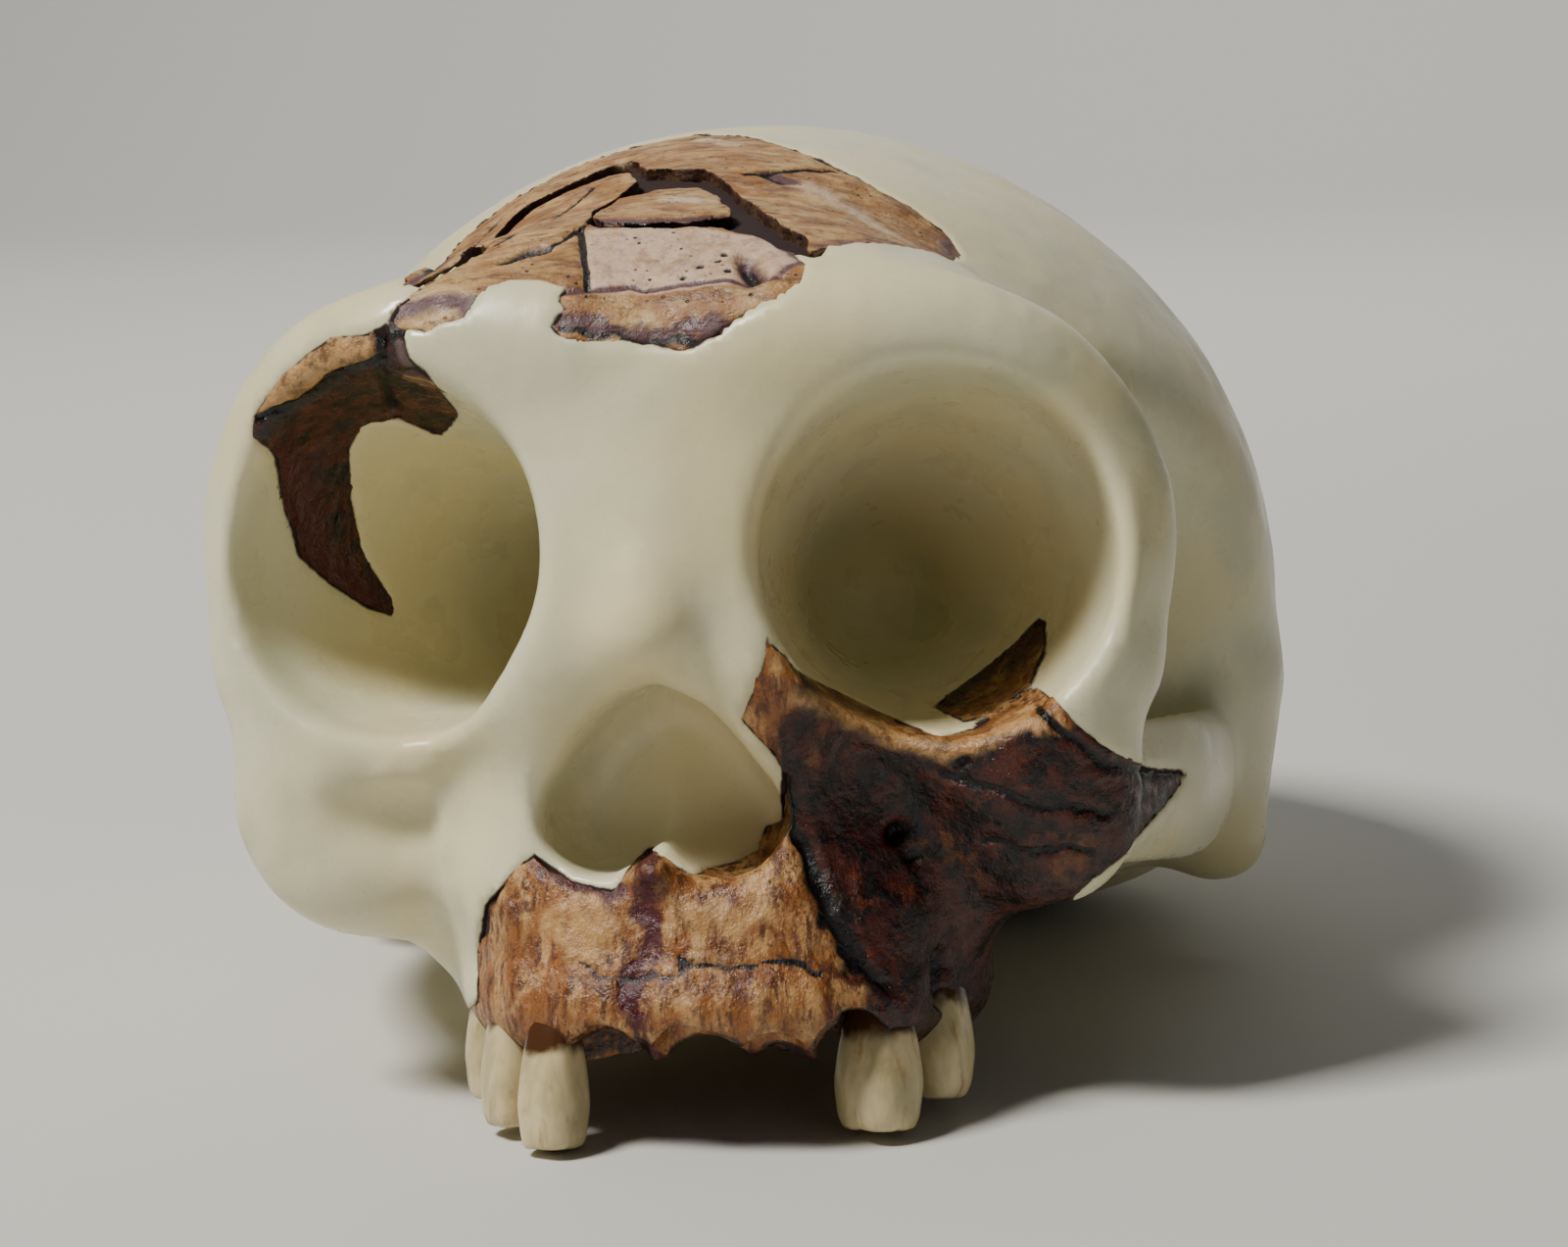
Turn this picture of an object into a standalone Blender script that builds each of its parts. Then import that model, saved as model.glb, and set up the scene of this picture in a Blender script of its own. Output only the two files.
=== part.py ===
"""Skull of a young fossil hominin: a pale cast of the cranium with fossil pieces and teeth set in it.

The constants are in millimetres in the skull's own frame: x to its left, y to its back and z up.
z = 0 runs through the lower rims of the orbits, and y = 0 is the root of the nose.
The last step tilts the skull onto its longest tooth and its occiput, and turns millimetres into metres.
"""

import math

import bmesh
import bpy
import numpy as np
import openvdb
from mathutils import Matrix, Vector

MM = 0.001

# Rest: the tilt that lets the skull stand, and the shift that puts the middle of its foot at the origin.
REST_TILT = math.radians(11.7)
REST_SHIFT = (0.0, -80.54, 46.18)

# Meshing.
CELL = 2.0
GRID_LOW = (-74.0, -18.0, -52.0)
GRID_HIGH = (74.0, 176.0, 88.0)
SKULL_TRIANGLES = 4700
BED_TRIANGLES = 700
GAP = 0.35
MIDLINE_SOFTNESS = 1.5

# Braincase: ellipsoids as centre and radii.
VAULT = ((0, 86, 18), (64.2, 77, 60.2))
FOREHEAD = ((0, 47, 24), (41, 47, 40))
OCCIPUT = ((0, 138, 20), (43, 26, 31))
CEREBELLUM = ((23, 112, -8), (27, 25, 14.5))
TEMPORAL_HOLLOW = ((60, 40, 1), (29, 30, 34))
BASE_HEIGHT = -19.0
NUCHAL_PIVOT = (104.0, -19.0)
NUCHAL_SLOPE = math.radians(23.0)
MASTOID = ((55, 86, 6, 8.5), (57, 88, -13, 5.8))
FORAMEN = ((0, 94, -22), (14, 17, 15))
CONDYLE = ((13, 80, -19), (5, 9, 5))

# Face: rods as rows of x, y, z and radius, for the left half.
BROW = (
    (0, 5.0, 40, 6.4),
    (12, 3.5, 42, 7.0),
    (25, 4.5, 43, 6.6),
    (37, 8.5, 41, 6.2),
    (45.6, 14, 35.0, 5.4),
    (50.2, 18, 26.0, 4.8),
    (50.0, 19, 17, 4.7),
    (47.2, 18, 7, 5.6),
)
BROW_SHELF = ((0, 15, 41, 13.5), (20, 15, 40.5, 13.0), (34, 18, 38, 10.0))
NOSE_BRIDGE = ((0, 5.5, 32, 5.6), (0, 2.6, 21, 4.6), (0, -1.9, 11, 4.2))
FRONTAL_PROCESS = (
    (8.5, 6, 32, 4.5),
    (8.8, 5, 19, 4.5),
    (12.5, 5.5, 8, 5.0),
    (17, 9, -4, 6.0),
    (18.5, 11, -14, 7.0),
)
LOWER_RIM = (
    (12.5, 5.5, 8, 4.6),
    (21, 8, 0.3, 4.6),
    (33, 12.5, -4.8, 5.0),
    (42.5, 15.5, -1, 6.3),
    (47.2, 18, 7, 5.6),
)
CHEEK = ((40.5, 19, -7.5), (11.5, 8, 11.5))
RIGHT_CHEEK = ((-36, 18.5, -14.5), (11, 8, 9))
CHEEK_BUTTRESS = ((41, 20, -10, 6.0), (34, 23, -15, 6.0), (27, 27, -21, 6.0))
MIDFACE = ((15, 27, -9), (18, 19, 16))
FACE_CORE = ((0, 40, 0), (26, 36, 23))
ARCH = (
    (44.5, 22, -7, 8.5),
    (50.2, 38, -6.8, 8.6),
    (54.5, 54, -6.2, 9.0),
    (56.2, 68, -5, 8.4),
    (55, 80, -2, 8.0),
)
ARCH_FLATNESS = 2.4
PTERYGOID = ((14, 57, -4, 5.0), (15, 59, -20, 3.2))

# Arcade of the upper jaw, which the fossil carries a little to the skull's left.
ARCADE_CENTRE = 3.0
JAW_UPPER = (
    (0, 9.5, -21, 8.0),
    (11, 11, -21, 8.0),
    (18, 16, -21, 7.5),
    (22, 25, -21, 7.0),
    (23, 35, -20, 7.0),
    (22, 43, -19, 6.5),
)
JAW_LOWER = (
    (0, 5.0, -30.2, 6.2),
    (10, 6.5, -30.2, 6.2),
    (17.5, 11.5, -29.8, 6.2),
    (21.8, 20, -29.3, 6.3),
    (24.0, 30, -29, 6.4),
    (24.0, 40, -28, 6.4),
)
PALATE = ((3, 33, -36), (16.5, 25, 14))
EMPTY_SOCKETS = (
    ((-5.0, 3.2, -37.0), (3.0, 3.4, 6.0)),
    ((4.0, 2.2, -37.4), (3.6, 3.4, 6.6)),
    ((12.8, 4.2, -37.2), (3.4, 3.4, 6.0)),
)

# Hollows.
ORBIT = ((33, -14, 19.5, 18.9), (30.5, 9, 18.5, 18.8), (19, 44, 16, 8.0))
ORBIT_WALL = ((30.5, 18, 18.5, 22.5), (20, 44, 16, 13.5))
ORBIT_SKIN = ((33, -14, 19.5, 26.5), (30.5, 9, 18.5, 26.0), (26, 24, 17.5, 18.2), (19, 44, 16, 11.0))
NOSE_OPENING = ((0, 2.0, 3.0), (3.2, -2.5, 5.2), (7.0, -9.3, 6.2))
NOSE_DEPTH = 17.0
NASAL_SPINE = ((0, 9, -19, 4.5), (0, 2.5, -15.5, 2.2))
CANINE_HOLLOW = ((25, 1, -9), (9, 9, 10))

# Fossil pieces. The forehead outlines are drawn on a plane that leans back along the forehead, as x and
# the way up the slope. The face outlines are drawn as seen from a little to the skull's left, as width
# and height. Each is cut between two depths, counted along the line of sight.
BED_DEPTH = 4.5
FOREHEAD_LEAN = math.radians(35.0)
FACE_TURN = math.radians(9.3)
FOREHEAD_REACH = (8.0, 60.0)
UPPER_OUTLINE = (
    (-27.8, 28.6), (-29.0, 36.0), (-31.5, 48.0), (-33.0, 60.0), (-32.0, 69.0), (-28.0, 78.0), (-22.0, 86.0),
    (-14.5, 89.5), (-6.0, 91.0), (1.5, 85.0), (8.3, 77.0), (14.5, 71.2), (19.6, 67.0), (24.3, 64.6),
    (28.4, 61.6), (30.2, 58.0), (29.6, 52.0), (28.0, 44.5), (25.0, 41.4), (21.3, 38.2), (16.9, 34.2),
    (15.6, 38.4), (12.6, 41.2), (9.4, 47.8), (5.6, 55.4), (2.8, 61.0), (-0.3, 64.6), (-4.2, 65.8),
    (-7.8, 67.4), (-9.8, 72.6), (-12.4, 74.6), (-15.6, 71.6), (-19.0, 69.6), (-22.6, 67.4), (-24.6, 61.0),
    (-23.8, 46.0), (-22.8, 36.4), (-24.6, 31.4),
)
LOWER_OUTLINE = (
    (-9.6, 67.2), (-7.6, 62.2), (-9.0, 56.4), (-10.4, 50.5), (-9.4, 43.0), (-7.6, 40.2), (-0.7, 39.4),
    (6.2, 39.6), (10.9, 37.0), (15.0, 33.4), (17.0, 30.0), (17.0, 26.6), (14.7, 24.4), (10.9, 22.4),
    (7.9, 20.6), (4.9, 20.2), (-2.0, 21.2), (-8.9, 20.8), (-10.7, 22.2), (-8.8, 23.6), (-9.9, 24.8),
    (-8.9, 26.4), (-13.2, 27.8), (-17.0, 26.9), (-18.6, 24.8), (-19.6, 23.0), (-24.0, 22.8), (-28.0, 23.8),
    (-28.8, 25.6), (-26.8, 26.8), (-23.6, 30.2), (-21.6, 35.0), (-22.4, 46.0), (-23.0, 57.6), (-21.4, 63.6),
    (-17.8, 65.2), (-14.2, 67.4),
)
SHARD_OUTLINE = (
    (-8.9, 43.2), (-9.43, 47.0), (-9.88, 50.4), (-8.6, 56.0), (-4.8, 57.8), (0.6, 57.8), (3.2, 53.8),
    (7.0, 43.6), (2.2, 41.2), (-3.4, 40.8),
)
ORBIT_OUTLINE = (
    (-44.6, 35.2), (-42.0, 38.0), (-38.0, 41.4), (-35.0, 43.0), (-30.8, 43.2), (-28.4, 44.4), (-26.4, 43.2),
    (-25.8, 40.4), (-24.0, 38.8), (-21.8, 35.6), (-25.0, 33.6), (-29.1, 35.2), (-33.2, 34.8), (-35.0, 32.0),
    (-35.4, 27.0), (-34.6, 21.0), (-31.4, 15.6), (-31.0, 13.2), (-34.0, 14.0), (-38.4, 17.0), (-41.4, 19.8),
    (-42.8, 26.0), (-43.0, 31.0), (-44.8, 32.6),
)
ORBIT_REACH = (-20.0, 42.0)
CHEEK_OUTLINE = (
    (12.6, 10.2), (16.0, 6.4), (20.4, 4.6), (26.6, 1.6), (31.6, -0.8), (35.4, 0.4), (39.4, 3.2),
    (42.6, 5.0), (45.4, 1.4), (48.6, -1.4), (52.0, -3.2), (57.0, -4.2), (62.0, -4.4), (58.4, -8.4),
    (53.4, -13.0), (47.4, -17.2), (42.0, -26.0), (12.0, -26.0), (13.6, -13.4), (14.4, -11.8), (14.0, -7.4),
    (14.2, -4.2), (13.0, -2.4), (9.8, 0.8), (11.2, 4.2), (12.4, 7.4),
)
CHEEK_REACH = (-22.0, 32.0)
JAW_OUTLINE = (
    (-24.0, -46.0), (-25.0, -35.0), (-19.6, -30.0), (-19.6, -24.8), (-18.4, -19.0), (-15.4, -15.8),
    (-12.8, -13.2), (-11.4, -14.2), (-8.2, -16.3), (-3.8, -17.2), (-2.2, -14.6), (-0.2, -12.6),
    (4.6, -15.6), (9.2, -14.4), (11.8, -13.4), (12.2, -10.6), (16.0, -9.5), (20.0, -16.0), (44.0, -17.5),
    (47.0, -46.0),
)
JAW_REACH = (-20.0, 52.0)
LINING_OUTLINE = (
    (31.0, 2.6), (35.2, 5.6), (40.2, 9.4), (43.4, 13.0), (44.4, 12.6), (44.2, 8.8), (42.2, 4.8),
    (38.6, 2.0), (34.6, 0.4),
)
LINING_REACH = (6.0, 38.0)

# Teeth: x, y and z of the tip, width along the jaw, thickness across it, turn of the jaw line there.
TEETH = {
    "right_canine": ((-11.4, 5.27, -45.72), 7.2, 7.5, 20.0),
    "right_first_premolar": ((-17.0, 11.5, -44.0), 6.8, 7.8, 50.0),
    "right_second_premolar": ((-20.6, 19.0, -41.6), 7.0, 8.2, 70.0),
    "left_first_molar": ((23.2, 12.6, -43.8), 8.4, 9.4, -50.0),
    "left_second_molar": ((28.0, 21.5, -41.0), 8.4, 9.0, -70.0),
}
# A tooth's outline as radius (a share of the half width) and height over its tip.
TOOTH_PROFILE = (
    (0.0, 0.0),
    (0.62, 0.15),
    (0.84, 1.0),
    (0.95, 3.0),
    (1.0, 6.0),
    (0.84, 11.0),
    (0.7, 13.5),
    (0.5, 16.2),
    (0.0, 17.2),
)
TOOTH_STEPS = 12
# 2 gives an elliptic tooth, and more gives it blunt corners.
TOOTH_SQUARENESS = 3.0


def soft_min(a, b, width):
    """Union of two fields, filleted over a width."""
    blend = np.maximum(width - np.abs(a - b), 0.0) / width
    return np.minimum(a, b) - blend * blend * width * 0.25


def soft_max(a, b, width):
    """Intersection of two fields, rounded over a width."""
    return -soft_min(-a, -b, width)


def blob(p, shape):
    """Field of an ellipsoid, negative inside."""
    centre, radii = shape
    near = 0.0
    far = 0.0
    for axis in range(3):
        step = (p[axis] - centre[axis]) / radii[axis]
        near = near + step * step
        far = far + step * step / (radii[axis] * radii[axis])
    near = np.sqrt(near)
    return near * (near - 1.0) / np.sqrt(far + 1e-12)


def smooth_path(rows, steps=4):
    """Points of a Catmull-Rom curve through the rows, with the radius as the last coordinate."""
    rows = [np.array(row, float) for row in rows]
    if len(rows) < 3:
        return rows
    padded = [2 * rows[0] - rows[1], *rows, 2 * rows[-1] - rows[-2]]
    path = []
    for before, start, end, after in zip(padded, padded[1:], padded[2:], padded[3:]):
        for step in range(steps):
            t = step / steps
            bend = (2 * before - 5 * start + 4 * end - after) * t * t
            twist = (3 * start - before - 3 * end + after) * t * t * t
            path.append(0.5 * (2 * start + (end - before) * t + bend + twist))
    return [*path, rows[-1]]


def round_cone(p, start, end):
    """Field of two balls and the cone that wraps them."""
    way = end[:-1] - start[:-1]
    length2 = sum(step * step for step in way)
    shrink = start[-1] - end[-1]
    slant2 = length2 - shrink * shrink
    along = sum((coordinate - at) * step for coordinate, at, step in zip(p, start, way))
    beyond = along - length2
    across2 = 0.0
    for coordinate, at, step in zip(p, start, way):
        offset = (coordinate - at) * length2 - along * step
        across2 = across2 + offset * offset
    along2 = along * along * length2
    beyond2 = beyond * beyond * length2
    edge = math.copysign(shrink * shrink, shrink) * across2
    cone = (np.sqrt(across2 * slant2 / length2) + along * shrink) / length2 - start[-1]
    first = np.sqrt(across2 + along2) / length2 - start[-1]
    last = np.sqrt(across2 + beyond2) / length2 - end[-1]
    field = np.where(np.sign(along) * slant2 * along2 < edge, first, cone)
    return np.where(np.sign(beyond) * slant2 * beyond2 > edge, last, field)


def rod(p, rows):
    """Field of a rod that runs through the rows (coordinates, then radius) and tapers between them."""
    path = smooth_path(rows)
    field = round_cone(p, path[0], path[1])
    for start, end in zip(path[1:], path[2:]):
        field = np.minimum(field, round_cone(p, start, end))
    return field


def mirrored(p, centre=0.0):
    """The point folded onto the left half, with the fold rounded so that it leaves no crease."""
    offset = p[0] - centre
    return np.sqrt(offset * offset + MIDLINE_SOFTNESS), p[1], p[2]


def braincase_field(p, side):
    """Vault, base, mastoids and the recess of the foramen magnum."""
    field = soft_min(blob(p, VAULT), blob(p, FOREHEAD), 14.0)
    field = soft_min(field, blob(p, OCCIPUT), 14.0)
    field = soft_max(field, BASE_HEIGHT - p[2], 12.0)
    behind = (p[1] - NUCHAL_PIVOT[0]) * math.sin(NUCHAL_SLOPE)
    above = (p[2] - NUCHAL_PIVOT[1]) * math.cos(NUCHAL_SLOPE)
    field = soft_max(field, behind - above, 14.0)
    field = soft_min(field, blob(side, CEREBELLUM), 16.0)
    field = soft_max(field, -blob(side, TEMPORAL_HOLLOW), 14.0)
    field = soft_min(field, rod(side, MASTOID), 8.0)
    field = soft_min(field, blob(side, CONDYLE), 3.0)
    return soft_max(field, -blob(p, FORAMEN), 3.0)


def arch_field(side):
    """The tall, thin zygomatic arch."""
    rows = [(x * ARCH_FLATNESS, y, z, radius) for x, y, z, radius in ARCH]
    return rod((side[0] * ARCH_FLATNESS, side[1], side[2]), rows) / 1.6


def face_field(p, side):
    """Brow, orbit walls, nose and cheeks, before the hollows are cut."""
    field = soft_min(rod(side, ORBIT_WALL), blob(p, FACE_CORE), 8.0)
    field = soft_min(field, blob(side, MIDFACE), 8.0)
    field = soft_min(field, rod(side, BROW_SHELF), 8.0)
    field = soft_min(field, rod(side, BROW), 6.0)
    field = soft_min(field, rod(side, LOWER_RIM), 5.0)
    field = soft_min(field, rod(side, FRONTAL_PROCESS), 5.0)
    field = soft_min(field, rod(side, NOSE_BRIDGE), 5.0)
    field = soft_min(field, blob(side, CHEEK), 6.0)
    field = soft_min(field, blob(p, RIGHT_CHEEK), 5.0)
    field = soft_min(field, rod(side, CHEEK_BUTTRESS), 6.0)
    return soft_min(field, rod(side, PTERYGOID), 6.0)


def jaw_field(p):
    """Alveolar process and palate."""
    jaw = mirrored(p, ARCADE_CENTRE)
    field = soft_min(rod(jaw, JAW_UPPER), rod(jaw, JAW_LOWER), 5.0)
    for socket in EMPTY_SOCKETS:
        field = soft_max(field, -blob(p, socket), 1.5)
    return soft_max(field, -blob(p, PALATE), 4.0)


def nose_opening_field(side):
    """The pear-shaped opening, with a closed wall at its back."""
    outline = rod((side[0], side[2]), NOSE_OPENING)
    return soft_max(outline, side[1] - NOSE_DEPTH, 6.0)


def solid_field(p):
    """The skull before its orbits, its nose and the hollows beside it are cut."""
    side = mirrored(p)
    field = soft_min(braincase_field(p, side), face_field(p, side), 14.0)
    field = soft_min(field, arch_field(side), 4.0)
    return soft_min(field, jaw_field(p), 6.0)


def orbit_skin_field(p):
    """The room that the fossil lining of an orbit takes up, with the rim before it."""
    return rod(mirrored(p), ORBIT_SKIN)


def skull_field(p):
    """Signed distance, near enough, to the whole skull: negative inside."""
    side = mirrored(p)
    field = soft_max(solid_field(p), -blob(side, CANINE_HOLLOW), 8.0)
    field = soft_max(field, -rod(side, ORBIT), 3.0)
    field = soft_max(field, -nose_opening_field(side), 2.0)
    return soft_min(field, rod(p, NASAL_SPINE), 2.0)


def fitted(points, rounds=4, reach=1.2):
    """The points moved along the field's slope until they lie on the skull's surface."""
    step = 0.05
    for _ in range(rounds):
        columns = [points[:, axis] for axis in range(3)]
        value = skull_field(columns)
        slope = np.empty_like(points)
        for axis in range(3):
            ahead = [column + step * (index == axis) for index, column in enumerate(columns)]
            slope[:, axis] = (skull_field(ahead) - value) / step
        steepness = np.maximum((slope * slope).sum(axis=1), 0.05)
        points = points - np.clip(slope * (value / steepness)[:, None], -reach, reach)
    return points


def sampled(field):
    """A field sampled on the lattice, clipped a little way from its surface."""
    axes = [np.arange(low, high + CELL / 2, CELL) for low, high in zip(GRID_LOW, GRID_HIGH)]
    grid = np.meshgrid(*axes, indexing="ij", sparse=True)
    values = np.broadcast_to(field(grid), [len(axis) for axis in axes])
    band = 4.0 * CELL
    volume = openvdb.FloatGrid(band)
    volume.copyFromArray(np.ascontiguousarray(np.clip(values, -band, band), np.float32))
    return volume


def level_mesh(name, volume, depth, triangles, fit=False):
    """Closed mesh of the surface that lies a depth under the field's own, with its faces reduced."""
    points, quads = volume.convertToQuads(-depth)
    points = np.array(GRID_LOW) + points.astype(float) * CELL
    if fit:
        points = fitted(points)
    mesh = bpy.data.meshes.new(name)
    mesh.from_pydata(points.tolist(), [], quads.tolist())
    orient(mesh)
    holder = bpy.data.objects.new(name, mesh)
    bpy.context.scene.collection.objects.link(holder)
    decimate = holder.modifiers.new("Fewer faces", "DECIMATE")
    decimate.ratio = triangles / (2 * len(quads))
    reduced = evaluated_mesh(holder)
    bpy.data.objects.remove(holder)
    return reduced


def orient(mesh):
    """Joins the mesh's doubled points and turns its faces outwards."""
    shape = bmesh.new()
    shape.from_mesh(mesh)
    bmesh.ops.remove_doubles(shape, verts=shape.verts, dist=1e-4)
    bmesh.ops.recalc_face_normals(shape, faces=shape.faces)
    shape.to_mesh(mesh)
    shape.free()


def evaluated_mesh(obj):
    """A mesh of the object as its modifiers leave it."""
    graph = bpy.context.evaluated_depsgraph_get()
    graph.update()
    return bpy.data.meshes.new_from_object(obj.evaluated_get(graph))


def widened(outline, margin):
    """The outline with every side moved outwards by a margin."""
    points = [Vector(point) for point in outline]
    area = sum(a.x * b.y - b.x * a.y for a, b in zip(points, points[1:] + points[:1]))
    turn = math.copysign(1.0, area)
    moved = []
    for before, here, after in zip(points[-1:] + points[:-1], points, points[1:] + points[:1]):
        sides = [(here - before).normalized(), (after - here).normalized()]
        normals = [Vector((side.y, -side.x)) * turn for side in sides]
        outward = normals[0] + normals[1]
        stretch = max(outward.length_squared / 2.0, 0.5)
        moved.append(here + outward * (margin / stretch))
    return moved


def prism(name, outline, reach, plane, margin=0.0):
    """Mesh of an outline drawn on a plane and extruded along its normal between two depths."""
    curve = bpy.data.curves.new(name, "CURVE")
    curve.dimensions = "2D"
    curve.fill_mode = "BOTH"
    curve.extrude = (reach[1] - reach[0]) / 2.0 + margin
    spline = curve.splines.new("POLY")
    points = widened(outline, margin)
    spline.points.add(len(points) - 1)
    for knot, point in zip(spline.points, points):
        knot.co = (point.x, point.y, 0.0, 1.0)
    spline.use_cyclic_u = True
    holder = bpy.data.objects.new(name, curve)
    bpy.context.scene.collection.objects.link(holder)
    mesh = evaluated_mesh(holder)
    bpy.data.objects.remove(holder)
    mesh.transform(plane @ Matrix.Translation((0.0, 0.0, (reach[0] + reach[1]) / 2.0)))
    orient(mesh)
    return mesh


def forehead_plane():
    """Plane of the forehead outlines: x across, y up the slope, z out of the bone."""
    return Matrix.Rotation(FOREHEAD_LEAN, 4, "X")


def face_plane():
    """Plane of the face outlines: x across, y up, z into the face."""
    across = Vector((math.cos(FACE_TURN), math.sin(FACE_TURN), 0.0))
    into = Vector((-math.sin(FACE_TURN), math.cos(FACE_TURN), 0.0))
    up = Vector((0.0, 0.0, 1.0))
    return Matrix((across, up, into)).transposed().to_4x4()


def finish(name, colour, roughness):
    """A plain surface of one colour."""
    material = bpy.data.materials.new(name)
    material.use_nodes = True
    shader = material.node_tree.nodes["Principled BSDF"]
    shader.inputs["Base Color"].default_value = (*colour, 1.0)
    shader.inputs["Roughness"].default_value = roughness
    shader.inputs["Metallic"].default_value = 0.0
    return material


def add_object(name, mesh, collection, material=None):
    """An object for the mesh, linked to a collection."""
    obj = bpy.data.objects.new(name, mesh)
    collection.objects.link(obj)
    if material:
        mesh.materials.clear()
        mesh.materials.append(material)
    else:
        obj.hide_render = True
        obj.display_type = "WIRE"
    return obj


def boolean(obj, cutter, operation):
    """Adds a Boolean modifier."""
    modifier = obj.modifiers.new(f"{operation.title()} {cutter.name}", "BOOLEAN")
    modifier.operation = operation
    modifier.object = cutter


def tooth_mesh(tip, width, thickness, turn, margin=0.0):
    """Crown and root of one tooth: a turned profile with blunt corners, wider one way than the other."""
    profile = bpy.data.meshes.new("tooth")
    top = TOOTH_PROFILE[-1][1]
    points = []
    for radius, height in reversed(TOOTH_PROFILE):
        points.append((radius, 0.0, height + margin * (2.0 * height / top - 1.0)))
    profile.from_pydata(points, [(index, index + 1) for index in range(len(points) - 1)], [])
    holder = bpy.data.objects.new("tooth", profile)
    bpy.context.scene.collection.objects.link(holder)
    screw = holder.modifiers.new("Turn", "SCREW")
    screw.steps = TOOTH_STEPS
    screw.render_steps = TOOTH_STEPS
    screw.use_merge_vertices = True
    screw.merge_threshold = 1e-4
    mesh = evaluated_mesh(holder)
    bpy.data.objects.remove(holder)
    for vertex in mesh.vertices:
        round_reach = math.hypot(vertex.co.x, vertex.co.y)
        blunt_reach = (abs(vertex.co.x) ** TOOTH_SQUARENESS + abs(vertex.co.y) ** TOOTH_SQUARENESS) ** (
            1.0 / TOOTH_SQUARENESS
        )
        if blunt_reach:
            vertex.co.xy *= round_reach / blunt_reach
    mesh.transform(Matrix.Diagonal((width / 2.0 + margin, thickness / 2.0 + margin, 1.0, 1.0)))
    mesh.transform(Matrix.Translation(tip) @ Matrix.Rotation(math.radians(-turn), 4, "Z"))
    orient(mesh)
    return mesh


def add_cutter(name, prisms, margin, collection):
    """A cutter joined from prisms, each cut first to its own limits."""
    parts = []
    for index, (outline, reach, plane, limits) in enumerate(prisms):
        part = add_object(f"{name}_cutter_{index}", prism(name, outline, reach, plane, margin), collection)
        for operation, limiters in limits:
            boolean(part, limiters[margin], operation)
        parts.append(part)
    for part in parts[1:]:
        boolean(parts[0], part, "UNION")
    return parts[0]


def add_limits(name, mesh, shift, collection):
    """A limit for a fossil piece, and the same limit moved along its normals for the pocket around it."""
    moved = mesh.copy()
    normals = [vertex.normal.copy() for vertex in mesh.vertices]
    for vertex, normal in zip(moved.vertices, normals):
        vertex.co += normal * shift
    return {0.0: add_object(name, mesh, collection), GAP: add_object(f"{name}_pocket", moved, collection)}


def main():
    for obj in list(bpy.data.objects):
        bpy.data.objects.remove(obj)
    skull = bpy.data.collections.new("fossil_hominin_skull")
    cutters = bpy.data.collections.new("cutters")
    for collection in (skull, cutters):
        bpy.context.scene.collection.children.link(collection)
    cast_finish = finish("cast", (0.72, 0.68, 0.52), 0.42)
    brow_finish = finish("forehead_bone", (0.48, 0.25, 0.10), 0.6)
    face_finish = finish("face_bone", (0.28, 0.12, 0.05), 0.5)
    tooth_finish = finish("enamel", (0.66, 0.56, 0.36), 0.3)

    whole = level_mesh("whole", sampled(skull_field), 0.0, SKULL_TRIANGLES, fit=True)
    beds = add_limits("bed", level_mesh("bed", sampled(solid_field), BED_DEPTH, BED_TRIANGLES), -GAP, cutters)
    skin = level_mesh("orbit_skin", sampled(orbit_skin_field), 0.0, BED_TRIANGLES)
    skins = add_limits("orbit_skin", skin, GAP, cutters)
    plate = (("DIFFERENCE", beds),)
    plate_by_orbit = (("DIFFERENCE", beds), ("DIFFERENCE", {0.0: skins[GAP], GAP: skins[0.0]}))
    lining = (("INTERSECT", skins),)
    brow, face = forehead_plane(), face_plane()
    maxilla = (
        (JAW_OUTLINE, JAW_REACH, face, ()),
        (CHEEK_OUTLINE, CHEEK_REACH, face, ()),
        (LINING_OUTLINE, LINING_REACH, face, lining),
    )
    pieces = (
        ("frontal_upper_fragment", brow_finish, ((UPPER_OUTLINE, FOREHEAD_REACH, brow, plate),)),
        ("frontal_lower_fragment", brow_finish, ((LOWER_OUTLINE, FOREHEAD_REACH, brow, plate_by_orbit),)),
        ("frontal_shard", brow_finish, ((SHARD_OUTLINE, FOREHEAD_REACH, brow, plate),)),
        ("orbit_fragment", face_finish, ((ORBIT_OUTLINE, ORBIT_REACH, face, lining),)),
        ("face_fragment", face_finish, maxilla),
    )
    cranium = add_object("cranium", whole.copy(), skull, cast_finish)
    fragments = {}
    for name, material, prisms in pieces:
        fragments[name] = add_object(name, whole.copy(), skull, material)
        boolean(fragments[name], add_cutter(name, prisms, 0.0, cutters), "INTERSECT")
        boolean(cranium, add_cutter(name, prisms, GAP, cutters), "DIFFERENCE")
    for name, sizes in TEETH.items():
        add_object(name, tooth_mesh(*sizes), skull, tooth_finish)
        socket = add_object(f"{name}_socket", tooth_mesh(*sizes, margin=GAP), cutters)
        boolean(fragments["face_fragment"], socket, "DIFFERENCE")
        boolean(cranium, socket, "DIFFERENCE")

    lay = Matrix.Translation(REST_SHIFT) @ Matrix.Rotation(-REST_TILT, 4, "X")
    for obj in (*skull.objects, *cutters.objects):
        obj.data.transform(Matrix.Scale(MM, 4) @ lay)


main()
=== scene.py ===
"""Looks of a fossil hominin's skull: a cream cast with brown fossil bone and teeth set in it.

Shapes are worked out in millimetres in the skull's own frame: x to its left, y to its back and z up. Every
piece is a level of one field, so that the pieces share their seams, and is then laid into the part's frame.
"""

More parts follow.
